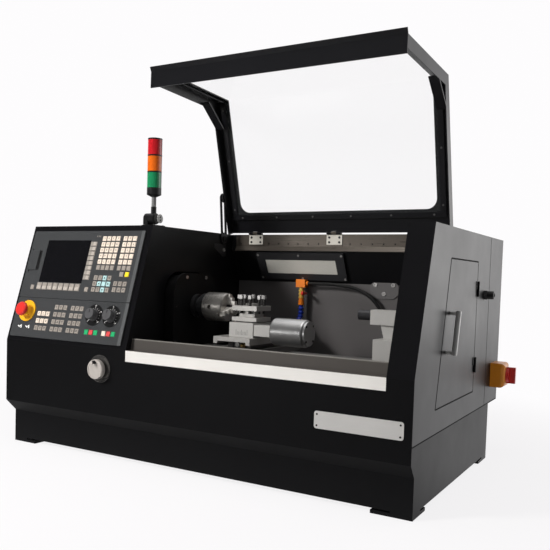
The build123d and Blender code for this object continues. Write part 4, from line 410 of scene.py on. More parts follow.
NODE_FINISHES: dict[str, Finish] = {
    "base_plinth": APRON_BLACK, "front_apron": APRON_BLACK, "control_housing": CABINET_BLACK,
    "right_column": CABINET_BLACK, "rear_cabinet": CABINET_BLACK, "splash_wall": WALL_PAINT_AND_LAMPLIGHT,
    "chip_tray": CHAMBER_BLACK, "front_sill": BRIGHT_SHEET, "hinge_strip": HINGE_STRIP,
    "lamp_bezel": LAMP_FRAME, "lamp_diffuser": DIFFUSER, "upper_panel": PANEL_GREY,
    "lower_panel": PANEL_GREY, "panel_screen": SCREEN, "panel_keys": KEY_GREY, "stop_ring": STOP_YELLOW,
    "stop_button": STOP_RED, "spindle_override_knob": KNOB_GREY, "feed_override_knob": KNOB_GREY,
    "pulse_handwheel": WHEEL_FACE, "tower_mount": BLACK_PLASTIC, "socket_flap": PANEL_GREY,
    "isolator_box": ISOLATOR, "isolator_handle": STOP_RED, "side_door": CABINET_BLACK,
    "cable_gland": BLACK_PLASTIC, "guard_frame": GUARD_BLACK, "guard_window": PANE,
    "guard_stay": BLACKENED, "coolant_valve": VALVE, "coolant_lever": STOP_RED,
    "coolant_nozzle": HOSE_BLUE, "coolant_hose": HOSE_BLACK, "tower_lenses": LENSES, "tower_pole": POLE,
    "lathe_bed": BED_CAST, "headstock": DARK_CAST, "spindle_bearings": MACHINED, "spindle": BLACKENED,
    "spindle_pulley": SATIN_ALLOY, "drive_belt": RUBBER, "spindle_motor": SATIN_ALLOY,
    "motor_pulley": SATIN_ALLOY, "chuck_body": TURNED, "chuck_jaw_1": JAW_STEEL, "chuck_jaw_2": JAW_STEEL,
    "chuck_jaw_3": JAW_STEEL, "saddle": BED_CAST, "cross_slide": MACHINED, "turret_base": PALE_CAST,
    "turret_motor": MOTOR_SHELL, "turret_head": MACHINED, "turret_screws": SCREW, "x_motor": SATIN_ALLOY,
    "x_screw": MACHINED, "z_motor": SATIN_ALLOY, "z_screw": MACHINED, "tailstock": PALE_CAST,
    "tail_quill": BLACKENED, "tail_handwheel": BLACK_PLASTIC,
}


@dataclass(frozen=True)
class Lamp:
    """One square soft light: its place, the point it faces, its side, its power and what it shows on."""

    name: str
    place: Point
    aim: Point
    size: float
    power: float
    gloss: bool = True
    diffuse: bool = True


@dataclass
class Studio:
    """The camera at the photograph's angle, the pale floor and the soft lights."""

    position: Point = (1.06212, -1.73920, 0.50106)
    right: Point = (0.86514, 0.50056, 0.03113)
    down: Point = (0.05319, -0.02987, -0.99814)
    forward: Point = (-0.49870, 0.86518, -0.05246)
    focal_share: float = 706.295 / 550
    shift: tuple[float, float] = (6.86 / 550, 39.0 / 550)
    floor_size: float = 9.0
    floor_color: Color = (0.86, 0.85, 0.855)
    floor_fade: tuple[float, float] = (0.9, 1.7)
    floor_white: float = 0.86
    white: Color = (0.985, 0.975, 0.985)
    lamp_color: Color = (1.0, 0.985, 0.97)
    dark_side: float = 0.05
    fill: float = 0.16
    fill_color: Color = (0.98, 0.98, 1.0)
    floor_roughness: float = 0.9
    floor_specular: float = 0.1
    floor_span: tuple[float, float] = (-0.9, 0.3)
    backdrop_span: tuple[float, float] = (-0.25, 0.45)
    sensor: float = 36.0
    sight: float = 50.0
    lamps: tuple[Lamp, ...] = (
        Lamp("top_box", (0.1, -0.5, 2.9), (0.0, 0.0, 0.4), 2.0, 30.0),
        Lamp("key_box", (-1.6, -2.6, 1.8), (0.1, -0.1, 0.4), 0.6, 112.0, gloss=False),
        Lamp("strip_box", (-1.05, -2.35, 0.5), (0.2, -0.18, 0.36), 0.5, 3.4, diffuse=False),
        Lamp("side_box", (1.55, 1.5, 0.75), (0.61, 0.0, 0.4), 1.1, 8.0),
    )

    def camera(self) -> None:
        """Make the camera that was fitted to the photograph."""
        data = bpy.data.cameras.new("photo_camera")
        data.sensor_width = self.sensor
        data.lens = self.sensor * self.focal_share
        data.shift_x, data.shift_y = self.shift
        data.clip_end = self.sight
        camera = bpy.data.objects.new("photo_camera", data)
        bpy.context.scene.collection.objects.link(camera)
        axes = Matrix((self.right, -Vector(self.down), -Vector(self.forward))).transposed().to_4x4()
        camera.matrix_world = Matrix.Translation(self.position) @ axes
        bpy.context.scene.camera = camera

    def floor(self) -> None:
        """Lay a pale floor that fades into the background's own white and keeps the object's soft shadow."""
        bm = bmesh.new()
        bmesh.ops.create_grid(bm, x_segments=1, y_segments=1, size=self.floor_size)
        mesh = bpy.data.meshes.new("floor")
        bm.to_mesh(mesh)
        bm.free()
        floor = bpy.data.objects.new("floor", mesh)
        bpy.context.scene.collection.objects.link(floor)
        material = bpy.data.materials.new("pale_floor")
        material.use_nodes = True
        tree = material.node_tree
        link = tree.links.new
        shader = tree.nodes["Principled BSDF"]
        shader.inputs["Base Color"].default_value = (*self.floor_color, 1.0)
        shader.inputs["Roughness"].default_value = self.floor_roughness
        shader.inputs["Specular IOR Level"].default_value = self.floor_specular
        paths = tree.nodes.new("ShaderNodeLightPath")
        coords = tree.nodes.new("ShaderNodeTexCoord")
        axes = tree.nodes.new("ShaderNodeSeparateXYZ")
        link(coords.outputs["Object"], axes.inputs[0])
        reach = tree.nodes.new("ShaderNodeVectorMath")
        reach.operation = "LENGTH"
        link(coords.outputs["Object"], reach.inputs[0])
        fade = self.ramp(tree, reach.outputs["Value"], self.floor_fade, (self.floor_white, 1.0))
        depth = self.ramp(tree, axes.outputs["Y"], self.floor_span, (self.dark_side, 1.0))
        seen = self.either(tree, paths.outputs["Is Camera Ray"], paths.outputs["Is Transmission Ray"])
        near = tree.nodes.new("ShaderNodeMath")
        near.operation = "MULTIPLY"
        link(seen, near.inputs[0])
        link(fade, near.inputs[1])
        strength = self.either(tree, seen, depth)
        white = tree.nodes.new("ShaderNodeEmission")
        white.inputs["Color"].default_value = (*self.white, 1.0)
        link(strength, white.inputs["Strength"])
        mix = tree.nodes.new("ShaderNodeMixShader")
        link(self.either(tree, near.outputs[0], paths.outputs["Is Glossy Ray"]), mix.inputs["Fac"])
        link(shader.outputs[0], mix.inputs[1])
        link(white.outputs[0], mix.inputs[2])
        link(mix.outputs[0], tree.nodes["Material Output"].inputs["Surface"])
        mesh.materials.append(material)

    @staticmethod
    def ramp(tree: bpy.types.NodeTree, value: bpy.types.NodeSocket, span: tuple[float, float],
             result: tuple[float, float]) -> bpy.types.NodeSocket:
        """Map a value smoothly from one span to another.

        Args:
            tree: the tree that holds the nodes.
            value: the value to map.
            span: the values between which it changes.
            result: the results at the two ends.

        Returns:
            The mapped value.
        """
        node = tree.nodes.new("ShaderNodeMapRange")
        node.interpolation_type = "SMOOTHSTEP"
        node.inputs["From Min"].default_value, node.inputs["From Max"].default_value = span
        node.inputs["To Min"].default_value, node.inputs["To Max"].default_value = result
        tree.links.new(value, node.inputs["Value"])
        return node.outputs[0]

    @staticmethod
    def either(tree: bpy.types.NodeTree, first: bpy.types.NodeSocket,
               second: bpy.types.NodeSocket) -> bpy.types.NodeSocket:
        """The larger of two values.

        Args:
            tree: the tree that holds the node.
            first: the first value.
            second: the second value.

        Returns:
            The larger value.
        """
        node = tree.nodes.new("ShaderNodeMath")
        node.operation = "MAXIMUM"
        tree.links.new(first, node.inputs[0])
        tree.links.new(second, node.inputs[1])
        return node.outputs[0]

    def world(self) -> None:
        """Light the object evenly, and show a white backdrop to the camera, to gloss and through glass."""
        world = bpy.data.worlds.new("studio")
        bpy.context.scene.world = world
        world.use_nodes = True
        tree = world.node_tree
        link = tree.links.new
        tree.nodes.clear()
        paths = tree.nodes.new("ShaderNodeLightPath")
        coords = tree.nodes.new("ShaderNodeTexCoord")
        axes = tree.nodes.new("ShaderNodeSeparateXYZ")
        link(coords.outputs["Generated"], axes.inputs[0])
        soft = tree.nodes.new("ShaderNodeBackground")
        soft.inputs["Color"].default_value = (*self.fill_color, 1.0)
        soft.inputs["Strength"].default_value = self.fill
        seen = self.either(tree, paths.outputs["Is Camera Ray"], paths.outputs["Is Transmission Ray"])
        backdrop = self.ramp(tree, axes.outputs["Y"], self.backdrop_span, (self.dark_side, 1.0))
        white = tree.nodes.new("ShaderNodeBackground")
        white.inputs["Color"].default_value = (*self.white, 1.0)
        link(self.either(tree, seen, backdrop), white.inputs["Strength"])
        mix = tree.nodes.new("ShaderNodeMixShader")
        link(self.either(tree, seen, paths.outputs["Is Glossy Ray"]), mix.inputs["Fac"])
        link(soft.outputs[0], mix.inputs[1])
        link(white.outputs[0], mix.inputs[2])
        out = tree.nodes.new("ShaderNodeOutputWorld")
        link(mix.outputs[0], out.inputs["Surface"])

    def hang(self, lamp: Lamp) -> None:
        """Hang one square soft light.

        Args:
            lamp: the light's values.
        """
        data = bpy.data.lights.new(lamp.name, "AREA")
        data.size = lamp.size
        data.energy = lamp.power
        data.color = self.lamp_color
        light = bpy.data.objects.new(lamp.name, data)
        light.visible_camera = False
        light.visible_transmission = False
        light.visible_glossy = lamp.gloss
        light.visible_diffuse = lamp.diffuse
        bpy.context.scene.collection.objects.link(light)
        light.location = lamp.place
        light.rotation_euler = (Vector(lamp.aim) - Vector(lamp.place)).to_track_quat("-Z", "Y").to_euler()

    def build(self) -> None:
        """Set up everything round the object."""
        bpy.context.scene.view_settings.view_transform = "Standard"
        self.camera()
        self.floor()
        self.world()
        for lamp in self.lamps:
            self.hang(lamp)


def side_of(up: Vector, along: Vector | None) -> Vector:
    """The direction given for a surface's first side, or a plain one that isn't its normal.

    Args:
        up: the surface's normal.
        along: the direction given, or nothing.

    Returns:
        The direction to use.
    """
    return along if along else (RIGHT if abs(up.x) < 0.9 else BACK)


class MeshShop:
    """Turns bmeshes into finished pieces of the machine."""

    def __init__(self, finishes: FinishShop) -> None:
        """Keep the finishes that pieces are dressed in.

        Args:
            finishes: the shop that builds materials.
        """
        self.finishes = finishes

    def piece(self, name: str, bm: bmesh.types.BMesh, finish: Finish, body: str, smooth: bool = False,
              bevel: float = 0.0) -> bpy.types.Object:
        """Make an object from a bmesh, dress it and let it ride on a body.

        Args:
            name: name of the piece.
            bm: its mesh, which is freed.
            finish: its finish.
            body: the body that it rides on.
            smooth: whether its faces are shaded smooth.
            bevel: width of the rounding of its edges, or zero.

        Returns:
            The finished piece.
        """
        bmesh.ops.recalc_face_normals(bm, faces=bm.faces)
        mesh = bpy.data.meshes.new(name)
        bm.to_mesh(mesh)
        bm.free()
        for polygon in mesh.polygons:
            polygon.use_smooth = smooth
        mesh.materials.append(self.finishes.make(finish))
        piece = bpy.data.objects.new(name, mesh)
        bpy.context.scene.collection.objects.link(piece)
        if bevel:
            rounding = piece.modifiers.new("rounding", "BEVEL")
            rounding.width = bevel
            rounding.segments = 2
            rounding.limit_method = "ANGLE"
        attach(piece, body)
        log.info("piece %s on %s", name, body)
        return piece

    @staticmethod
    def block(bm: bmesh.types.BMesh, low: Vector, high: Vector, turn: Matrix | None = None) -> None:
        """Add a block between two corners.

        Args:
            bm: the mesh to add to.
            low: its lowest corner.
            high: its highest corner.
            turn: a transform of the finished block, or nothing.
        """
        middle = (low + high) / 2
        size = high - low
        place = Matrix.Translation(middle) @ Matrix.Diagonal((*size, 1.0))
        bmesh.ops.create_cube(bm, size=1.0, matrix=(turn @ place) if turn else place)

    @staticmethod
    def turned(bm: bmesh.types.BMesh, profile: Sequence[tuple[float, float]], place: Matrix,
               steps: int) -> None:
        """Add a turned form: a profile of radius and height, spun round the local Z axis.

        Args:
            bm: the mesh to add to.
            profile: radius and height of each point, from one end to the other.
            place: where the local axes lie.
            steps: number of facets round the axis.
        """
        rings = []
        for radius, height in profile:
            ring = []
            for step in range(steps):
                turn = 2 * math.pi * step / steps
                spot = Vector((radius * math.cos(turn), radius * math.sin(turn), height))
                ring.append(bm.verts.new(place @ spot))
            rings.append(ring)
        for first, second in zip(rings, rings[1:]):
            for step in range(steps):
                after = (step + 1) % steps
                bm.faces.new((first[step], first[after], second[after], second[step]))
        bm.faces.new(rings[0][::-1])
        bm.faces.new(rings[-1])

    @staticmethod
    def rounded_plate(bm: bmesh.types.BMesh, place: Matrix, wide: float, tall: float, radius: float,
                      thick: float, steps: int = 6) -> None:
        """Add a plate with rounded corners, standing on a local XY plane.

        Args:
            bm: the mesh to add to.
            place: where the local axes lie.
            wide: its length along local X.
            tall: its length along local Y.
            radius: radius of its corners.
            thick: its thickness along local Z.
            steps: number of facets in a corner.
        """
        outline = []
        for corner, (side, level) in enumerate(((1, 1), (-1, 1), (-1, -1), (1, -1))):
            for step in range(steps + 1):
                turn = (corner + step / steps) * math.pi / 2
                outline.append((
                    side * (wide / 2 - radius) + radius * math.cos(turn),
                    level * (tall / 2 - radius) + radius * math.sin(turn),
                ))
        low = [bm.verts.new(place @ Vector((x, y, 0.0))) for x, y in outline]
        high = [bm.verts.new(place @ Vector((x, y, thick))) for x, y in outline]
        bm.faces.new(low[::-1])
        bm.faces.new(high)
        for step in range(len(outline)):
            after = (step + 1) % len(outline)
            bm.faces.new((low[step], low[after], high[after], high[step]))

    def lettering(self, name: str, words: Sequence[tuple[str, Matrix, float]], finish: Finish,
                  body: str) -> bpy.types.Object:
        """Draw plain characters on a surface as one flat mesh.

        Args:
            name: name of the piece.
            words: each text, the frame at its centre and its height.
            finish: its finish.
            body: the body that it rides on.

        Returns:
            The finished piece.
        """
        bm = bmesh.new()
        for text, place, height in words:
            curve = bpy.data.curves.new("character", "FONT")
            curve.body = text
            curve.size = height
            curve.align_x, curve.align_y = "CENTER", "CENTER"
            curve.resolution_u = 2
            holder = bpy.data.objects.new("character", curve)
            bpy.context.scene.collection.objects.link(holder)
            graph = bpy.context.evaluated_depsgraph_get()
            mesh = bpy.data.meshes.new_from_object(holder.evaluated_get(graph))
            mesh.transform(place)
            bm.from_mesh(mesh)
            bpy.data.objects.remove(holder)
            bpy.data.meshes.remove(mesh)
        mesh = bpy.data.meshes.new(name)
        bm.to_mesh(mesh)
        bm.free()
        mesh.materials.append(self.finishes.make(finish))
        piece = bpy.data.objects.new(name, mesh)
        bpy.context.scene.collection.objects.link(piece)
        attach(piece, body)
        log.info("lettering %s on %s", name, body)
        return piece

    @staticmethod
    def frame_at(place: Vector, normal: Vector, along: Vector | None = None) -> Matrix:
        """A local frame whose Z axis is a surface's normal.

        Args:
            place: origin of the frame.
            normal: direction of its Z axis.
            along: direction near its X axis, or nothing.

        Returns:
            The frame as a matrix.
        """
        up = normal.normalized()
        second = up.cross(side_of(up, along)).normalized()
        first = second.cross(up)
        axes = Matrix((first, second, up)).transposed().to_4x4()
        return Matrix.Translation(place) @ axes


@dataclass
class Repeat:
    """Points on which a Geometry Nodes tree sets one small form."""

    places: list[Vector] = field(default_factory=list)
    facings: list[Vector] = field(default_factory=list)
    alongs: list[Vector] = field(default_factory=list)
    sizes: list[Vector] = field(default_factory=list)

    def add(self, place: Vector, facing: Vector, along: Vector | None = None,
            size: Vector | None = None) -> None:
        """Add one point.

        Args:
            place: where the form stands.
            facing: the way that it points.
            along: the way that its first side runs.
            size: its size along its three axes.
        """
        up = facing.normalized()
        side = side_of(up, along)
        self.places.append(place)
        self.facings.append(up)
        self.alongs.append((side - up * side.dot(up)).normalized())
        self.sizes.append(size if size else Vector((1, 1, 1)))


class RepeatShop:
    """Geometry Nodes trees for what repeats: screws, key caps and marks."""

    def __init__(self, finishes: FinishShop) -> None:
        """Keep the finishes that the trees set.

        Args:
            finishes: the shop that builds materials.
        """
        self.finishes = finishes
        self.trees: dict[str, bpy.types.NodeTree] = {}

    def _tree(self, name: str, inputs: Sequence[tuple[str, float]]) -> tuple[
            bpy.types.NodeTree, bpy.types.Node, bpy.types.Node]:
        """Make an empty tree with a geometry input, sizes and a material.

        Args:
            name: name of the tree.
            inputs: name and default of each size.

        Returns:
            The tree, its input node and its output node.
        """
        tree = bpy.data.node_groups.new(name, "GeometryNodeTree")
        tree.interface.new_socket("Geometry", in_out="INPUT", socket_type="NodeSocketGeometry")
        for label, default in inputs:
            socket = tree.interface.new_socket(label, in_out="INPUT", socket_type="NodeSocketFloat")
            socket.default_value = default
        tree.interface.new_socket("Finish", in_out="INPUT", socket_type="NodeSocketMaterial")
        tree.interface.new_socket("Geometry", in_out="OUTPUT", socket_type="NodeSocketGeometry")
        self.trees[name] = tree
        return tree, tree.nodes.new("NodeGroupInput"), tree.nodes.new("NodeGroupOutput")

    @staticmethod
    def _set_out(tree: bpy.types.NodeTree, ins: bpy.types.Node, outs: bpy.types.Node,
                 form: bpy.types.NodeSocket) -> None:
        """Set a form on every point, turned by the point's own directions, and realise it.

        Args:
            tree: the tree to finish.
            ins: its input node.
            outs: its output node.
            form: the socket of the form's mesh.
        """
        link = tree.links.new
        named = {}
        for label in ("facing", "along", "size"):
            node = tree.nodes.new("GeometryNodeInputNamedAttribute")
            node.data_type = "FLOAT_VECTOR"
            node.inputs["Name"].default_value = label
            named[label] = node.outputs["Attribute"]
        upright = tree.nodes.new("FunctionNodeAlignRotationToVector")
        upright.axis = "Z"
        link(named["facing"], upright.inputs["Vector"])
        turned = tree.nodes.new("FunctionNodeAlignRotationToVector")
        turned.axis = "X"
        turned.pivot_axis = "Z"
        link(upright.outputs[0], turned.inputs["Rotation"])
        link(named["along"], turned.inputs["Vector"])
        stand = tree.nodes.new("GeometryNodeInstanceOnPoints")
        link(ins.outputs["Geometry"], stand.inputs["Points"])
        link(form, stand.inputs["Instance"])
        link(turned.outputs[0], stand.inputs["Rotation"])
        link(named["size"], stand.inputs["Scale"])
        real = tree.nodes.new("GeometryNodeRealizeInstances")
        link(stand.outputs[0], real.inputs[0])
        dress = tree.nodes.new("GeometryNodeSetMaterial")
        link(real.outputs[0], dress.inputs["Geometry"])
        link(ins.outputs["Finish"], dress.inputs["Material"])
        link(dress.outputs[0], outs.inputs["Geometry"])

    def screw_tree(self) -> bpy.types.NodeTree:
        """A cap screw: a low cylinder with a sunk round socket."""
        if "cap_screws" in self.trees:
            return self.trees["cap_screws"]
        tree, ins, outs = self._tree("cap_screws", [("Radius", 0.004), ("Height", 0.002), ("Socket", 0.5)])
        link = tree.links.new
        head = tree.nodes.new("GeometryNodeMeshCylinder")
        head.inputs["Vertices"].default_value = 16
        link(ins.outputs["Radius"], head.inputs["Radius"])
        link(ins.outputs["Height"], head.inputs["Depth"])
        inset = tree.nodes.new("GeometryNodeExtrudeMesh")
        inset.inputs["Offset Scale"].default_value = 0.0
        link(head.outputs["Mesh"], inset.inputs["Mesh"])
        link(head.outputs["Top"], inset.inputs["Selection"])
        rim = tree.nodes.new("GeometryNodeScaleElements")
        link(inset.outputs["Mesh"], rim.inputs["Geometry"])
        link(inset.outputs["Top"], rim.inputs["Selection"])
        link(ins.outputs["Socket"], rim.inputs["Scale"])
        depth = tree.nodes.new("ShaderNodeMath")
        depth.operation = "MULTIPLY"
        depth.inputs[1].default_value = -0.6
        link(ins.outputs["Height"], depth.inputs[0])
        sink = tree.nodes.new("GeometryNodeExtrudeMesh")
        link(rim.outputs["Geometry"], sink.inputs["Mesh"])
        link(inset.outputs["Top"], sink.inputs["Selection"])
        link(depth.outputs[0], sink.inputs["Offset Scale"])
        self._set_out(tree, ins, outs, sink.outputs["Mesh"])
        return tree

    def cap_tree(self) -> bpy.types.NodeTree:
        """A key cap: a unit block whose top is drawn in."""
        if "key_caps" in self.trees:
            return self.trees["key_caps"]
        tree, ins, outs = self._tree("key_caps", [("Taper", 0.86)])
        link = tree.links.new
        cube = tree.nodes.new("GeometryNodeMeshCube")
        lift = tree.nodes.new("GeometryNodeTransform")
        lift.inputs["Translation"].default_value = (0.0, 0.0, 0.5)
        link(cube.outputs["Mesh"], lift.inputs["Geometry"])
        normal = tree.nodes.new("GeometryNodeInputNormal")
        axes = tree.nodes.new("ShaderNodeSeparateXYZ")
        link(normal.outputs[0], axes.inputs[0])
        top = tree.nodes.new("FunctionNodeCompare")
        top.operation = "GREATER_THAN"
        top.inputs["B"].default_value = 0.5
        link(axes.outputs["Z"], top.inputs["A"])
        draw = tree.nodes.new("GeometryNodeScaleElements")
        link(lift.outputs["Geometry"], draw.inputs["Geometry"])
        link(top.outputs[0], draw.inputs["Selection"])
        link(ins.outputs["Taper"], draw.inputs["Scale"])
        self._set_out(tree, ins, outs, draw.outputs["Geometry"])
        return tree

    def stand(self, name: str, points: Repeat, tree: bpy.types.NodeTree, sizes: dict[str, float],
              finish: Finish, body: str) -> bpy.types.Object:
        """Run a tree on points and keep its result as a plain mesh.

        Args:
            name: name of the piece.
            points: where the form stands.
            tree: the Geometry Nodes tree.
            sizes: values of the tree's named sizes.
            finish: the finish that the tree sets.
            body: the body that the piece rides on.

        Returns:
            The finished piece.
        """
        mesh = bpy.data.meshes.new(f"{name}.points")
        mesh.from_pydata(points.places, [], [])
        for label, values in (("facing", points.facings), ("along", points.alongs), ("size", points.sizes)):
            attribute = mesh.attributes.new(label, "FLOAT_VECTOR", "POINT")
            attribute.data.foreach_set("vector", [axis for value in values for axis in value])
        carrier = bpy.data.objects.new(f"{name}.carrier", mesh)
        bpy.context.scene.collection.objects.link(carrier)
        modifier = carrier.modifiers.new("repeat", "NODES")
        modifier.node_group = tree
        for item in tree.interface.items_tree:
            if item.in_out == "INPUT" and item.name in sizes:
                modifier[item.identifier] = sizes[item.name]
            elif item.in_out == "INPUT" and item.name == "Finish":
                modifier[item.identifier] = self.finishes.make(finish)
        graph = bpy.context.evaluated_depsgraph_get()
        made = bpy.data.meshes.new_from_object(carrier.evaluated_get(graph))
        made.name = name
        bpy.data.objects.remove(carrier)
        for label in ("facing", "along", "size"):
            if label in made.attributes:
                made.attributes.remove(made.attributes[label])
        piece = bpy.data.objects.new(name, made)
        bpy.context.scene.collection.objects.link(piece)
        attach(piece, body)
        log.info("repeat %s: %d on %s", name, len(points.places), body)
        return piece

    def screws(self, name: str, points: Iterable[tuple[Vector, Vector]], radius: float, height: float,
               body: str, finish: Finish = SCREW) -> bpy.types.Object:
        """Set cap screws on a surface.

        Args:
            name: name of the piece.
            points: each screw's place and the normal of its surface.
            radius: radius of the heads.
            height: height of the heads.
            body: the body that they ride on.
            finish: their finish.

        Returns:
            The finished piece.
        """
        repeat = Repeat()
        for place, normal in points:
            repeat.add(place, normal)
        sizes = {"Radius": radius, "Height": height, "Socket": 0.5}
        return self.stand(name, repeat, self.screw_tree(), sizes, finish, body)


def dress_nodes(finishes: FinishShop) -> None:
    """Give every CAD node its finish.

    Args:
        finishes: the shop that builds materials.
    """
    for node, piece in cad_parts.items():
        piece.data.materials.clear()
        piece.data.materials.append(finishes.make(NODE_FINISHES[node]))


@dataclass
class ControlPanels:
    """Key caps, marks and dials on the two operator panels."""

    meshes: MeshShop
    repeats: RepeatShop
    slant_run: float = 101.0
    slant_rise: float = 332.0
    slant_base: float = 298.0
    plate: float = 4.0
    key_height: float = 1.4
    key_size: tuple[float, float] = (13.9, 13.5)
    key_pitch: tuple[float, float] = (16.59, 16.91)
    letters: tuple[float, float] = (316.72, 264.99)
    digits: tuple[float, float] = (383.71, 264.99)
    cursor: tuple[float, float] = (316.72, 176.49)
    page: tuple[float, float] = (382.99, 170.01)
    edit: tuple[tuple[float, float], ...] = ((380.68, 205.2), (399.79, 205.2))
    recall: tuple[tuple[float, float], ...] = ((55.02, 158.49), (266.49, 158.49))
    side_keys: tuple[float, float, float] = (255.48, 242.0, 14.1)
    side_key_size: tuple[float, float] = (23.5, 12.6)
    foot_keys: tuple[float, float, float] = (155.98, 163.0, 21.25)
    foot_key_size: tuple[float, float] = (19.0, 21.0)
    mode_columns: tuple[float, ...] = (126.79, 188.79, 250.82)
    mode_rows: tuple[float, ...] = (103.2, 82.1, 61.0, 40.0)
    cycle: tuple[tuple[float, float], ...] = ((319.49, 40.2), (381.48, 40.2))
    dials_at: tuple[float, float, float] = (317.52, 379.51, 88.0)
    dial_radius: float = 29.8
    knob_top: float = 25.3
    upper: tuple[float, float] = (128.0, 330.0)
    lower: tuple[float, float] = (11.5, 127.0)
    flap: tuple[float, float, float] = (52.0, 210.5, 270.0)
    groove_size: tuple[float, float, float] = (4.5, 7.0, 2.5)
    panel_right: float = 430.8
    rim_wide: float = 11.0
    panel_lamps: tuple[float, float, float] = (262.0, 6.0, 314.0)
    key_taper: float = 0.86
    pale_taper: float = 0.94
    pale_share: tuple[float, float] = (0.42, 0.8)
    ink: float = 0.05
    film: float = 0.2
    arrow_keys: tuple[int, ...] = (2, 5, 6, 7, 10)
    arrow_reach: float = 3.6
    letter_keys: str = "OGPXZUFWRBDHNMTSKLEV"
    digit_keys: str = "789456123-0.()="
    letter_height: float = 0.0085
    figure_height: float = 0.0052
    cream_groups: tuple[int, int] = (2, 5)
    stop_marks: tuple[float, float] = (44.0, 75.0)
    stop_mark_level: float = 42.0
    dial_steps: int = 13
    dial_start: float = 225.0
    dial_pitch: float = 22.5
    dial_hub: float = 3.5
    dial_lift: float = 1.0
    dial_tops: tuple[int, int] = (120, 150)
    mark_reach: float = 18.6
    mark_lengths: tuple[float, float] = (3.6, 2.0)
    figure_reach: float = 25.8

    def __post_init__(self) -> None:
        """Work out the panels' own directions."""
        length = math.hypot(self.slant_run, self.slant_rise)
        self.up = Vector((0, self.slant_run / length, self.slant_rise / length))
        self.out = Vector((0, -self.slant_rise / length, self.slant_run / length))

    def on(self, p: float, q: float, n: float) -> Vector:
        """A point on the panels.

        Args:
            p: millimetres from the left end.
            q: millimetres up the slope.
            n: millimetres out of the slope.

        Returns:
            The point in metres.
        """
        return at(p, 0, self.slant_base) + self.up * (q / 1000) + self.out * (n / 1000)

    def caps(self, name: str, spots: Iterable[tuple[float, float, float, float]], finish: Finish) -> None:
        """Set key caps of one colour.

        Args:
            name: name of the piece.
            spots: centre and size of each key.
            finish: their finish.
        """
        repeat = Repeat()
        for p, q, wide, tall in spots:
            size = Vector((wide / 1000, tall / 1000, self.key_height / 1000))
            repeat.add(self.on(p, q, self.plate), self.out, RIGHT, size)
        tree, inputs = self.repeats.cap_tree(), {"Taper": self.key_taper}
        piece = self.repeats.stand(name, repeat, tree, inputs, finish, "cabinet")
        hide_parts("panel_keys")

    def grid(self, centre: tuple[float, float], columns: int, rows: int, size: tuple[float, float],
             pitch: tuple[float, float]) -> list[tuple[float, float, float, float]]:
        """Key places in a block.

        Args:
            centre: centre of the block.
            columns: number of columns.
            rows: number of rows, counted from the top.
            size: size of a key.
            pitch: distance between keys.

        Returns:
            Centre and size of each key, row by row from the top.
        """
        return [
            (centre[0] + (column - (columns - 1) / 2) * pitch[0],
             centre[1] - (row - (rows - 1) / 2) * pitch[1], *size)
            for row in range(rows) for column in range(columns)
        ]

    def mode_keys(self) -> list[list[tuple[float, float, float, float]]]:
        """Key places of the lower panel's groups of three, row by row from the top."""
        return [
            self.grid((p, q), 3, 1, self.key_size, self.key_pitch)
            for row, q in enumerate(self.mode_rows)
            for column, p in enumerate(self.mode_columns) if row or column
        ]

    def keys(self) -> None:
        """Set all key caps."""
        key, pitch = self.key_size, self.key_pitch
        letters = self.grid(self.letters, 4, 6, key, pitch)
        digits = self.grid(self.digits, 3, 6, key, pitch)
        cream = letters[:20] + digits[:15]
        grey = letters[20:] + digits[15:]
        sides = self.grid(self.side_keys[:2], 1, 8, self.side_key_size, (0.0, self.side_keys[2]))
        feet = self.grid(self.foot_keys[:2], 8, 1, self.foot_key_size, (self.foot_keys[2], 0.0))
        grey += sides + feet
        grey += [(p, q, *key) for p, q in (*self.recall, self.edit[0])]
        cursor = self.grid(self.cursor, 4, 3, key, pitch)
        grey += [spot for i, spot in enumerate(cursor) if i not in self.arrow_keys]
        grey += self.grid(self.page, 3, 2, key, pitch)
        for index, group in enumerate(self.mode_keys()):
            if index in self.cream_groups:
                cream += group
            else:
                grey += group
        first, second = (self.grid(spot, 3, 1, key, pitch) for spot in self.cycle)
        self.caps("keycaps_cream", cream + second[:1], KEY_CREAM)
        self.caps("keycaps_grey", grey, KEY_GREY)
        self.caps("keycaps_teal", [cursor[i] for i in self.arrow_keys], KEY_TEAL)
        self.caps("keycaps_yellow", [(*self.edit[1], *key)], KEY_YELLOW)
        self.caps("keycaps_green", [first[0], first[2], second[2]], KEY_GREEN)
        self.caps("keycaps_red", [first[1], second[1]], KEY_RED)
        pale = Repeat()
        top = self.plate + self.key_height
        short, long = self.pale_share
        for p, q, wide, tall in sides:
            size = Vector((wide * short, tall * long, self.film)) / 1000
            pale.add(self.on(p + wide * 0.2, q, top), self.out, RIGHT, size)
        for p, q, wide, tall in feet:
            size = Vector((wide * long, tall * short, self.film)) / 1000
            pale.add(self.on(p, q - tall * 0.2, top), self.out, RIGHT, size)
        tree = self.repeats.cap_tree()
        self.repeats.stand("keycaps_pale", pale, tree, {"Taper": self.pale_taper}, KEY_PALE, "cabinet")
        self.arrows([cursor[i] for i in self.arrow_keys])

    def arrows(self, spots: Sequence[tuple[float, float, float, float]]) -> None:
        """Draw a dark triangle on each cursor key.

        Args:
            spots: centre and size of the keys: up, left, middle, right and down.
        """
        bm = bmesh.new()
        level = self.plate + self.key_height + self.ink
        for (p, q, _, _), turn in zip(spots, (90, 180, None, 0, 270)):
            if turn is None:
                continue
            corners = []
            for step in (0, 125, 235):
                angle = math.radians(turn + step)
                reach_p, reach_q = self.arrow_reach * math.cos(angle), self.arrow_reach * math.sin(angle)
                corners.append(bm.verts.new(self.on(p + reach_p, q + reach_q, level)))
            bm.faces.new(corners)
        self.meshes.piece("key_arrows", bm, INK_DARK, "cabinet")

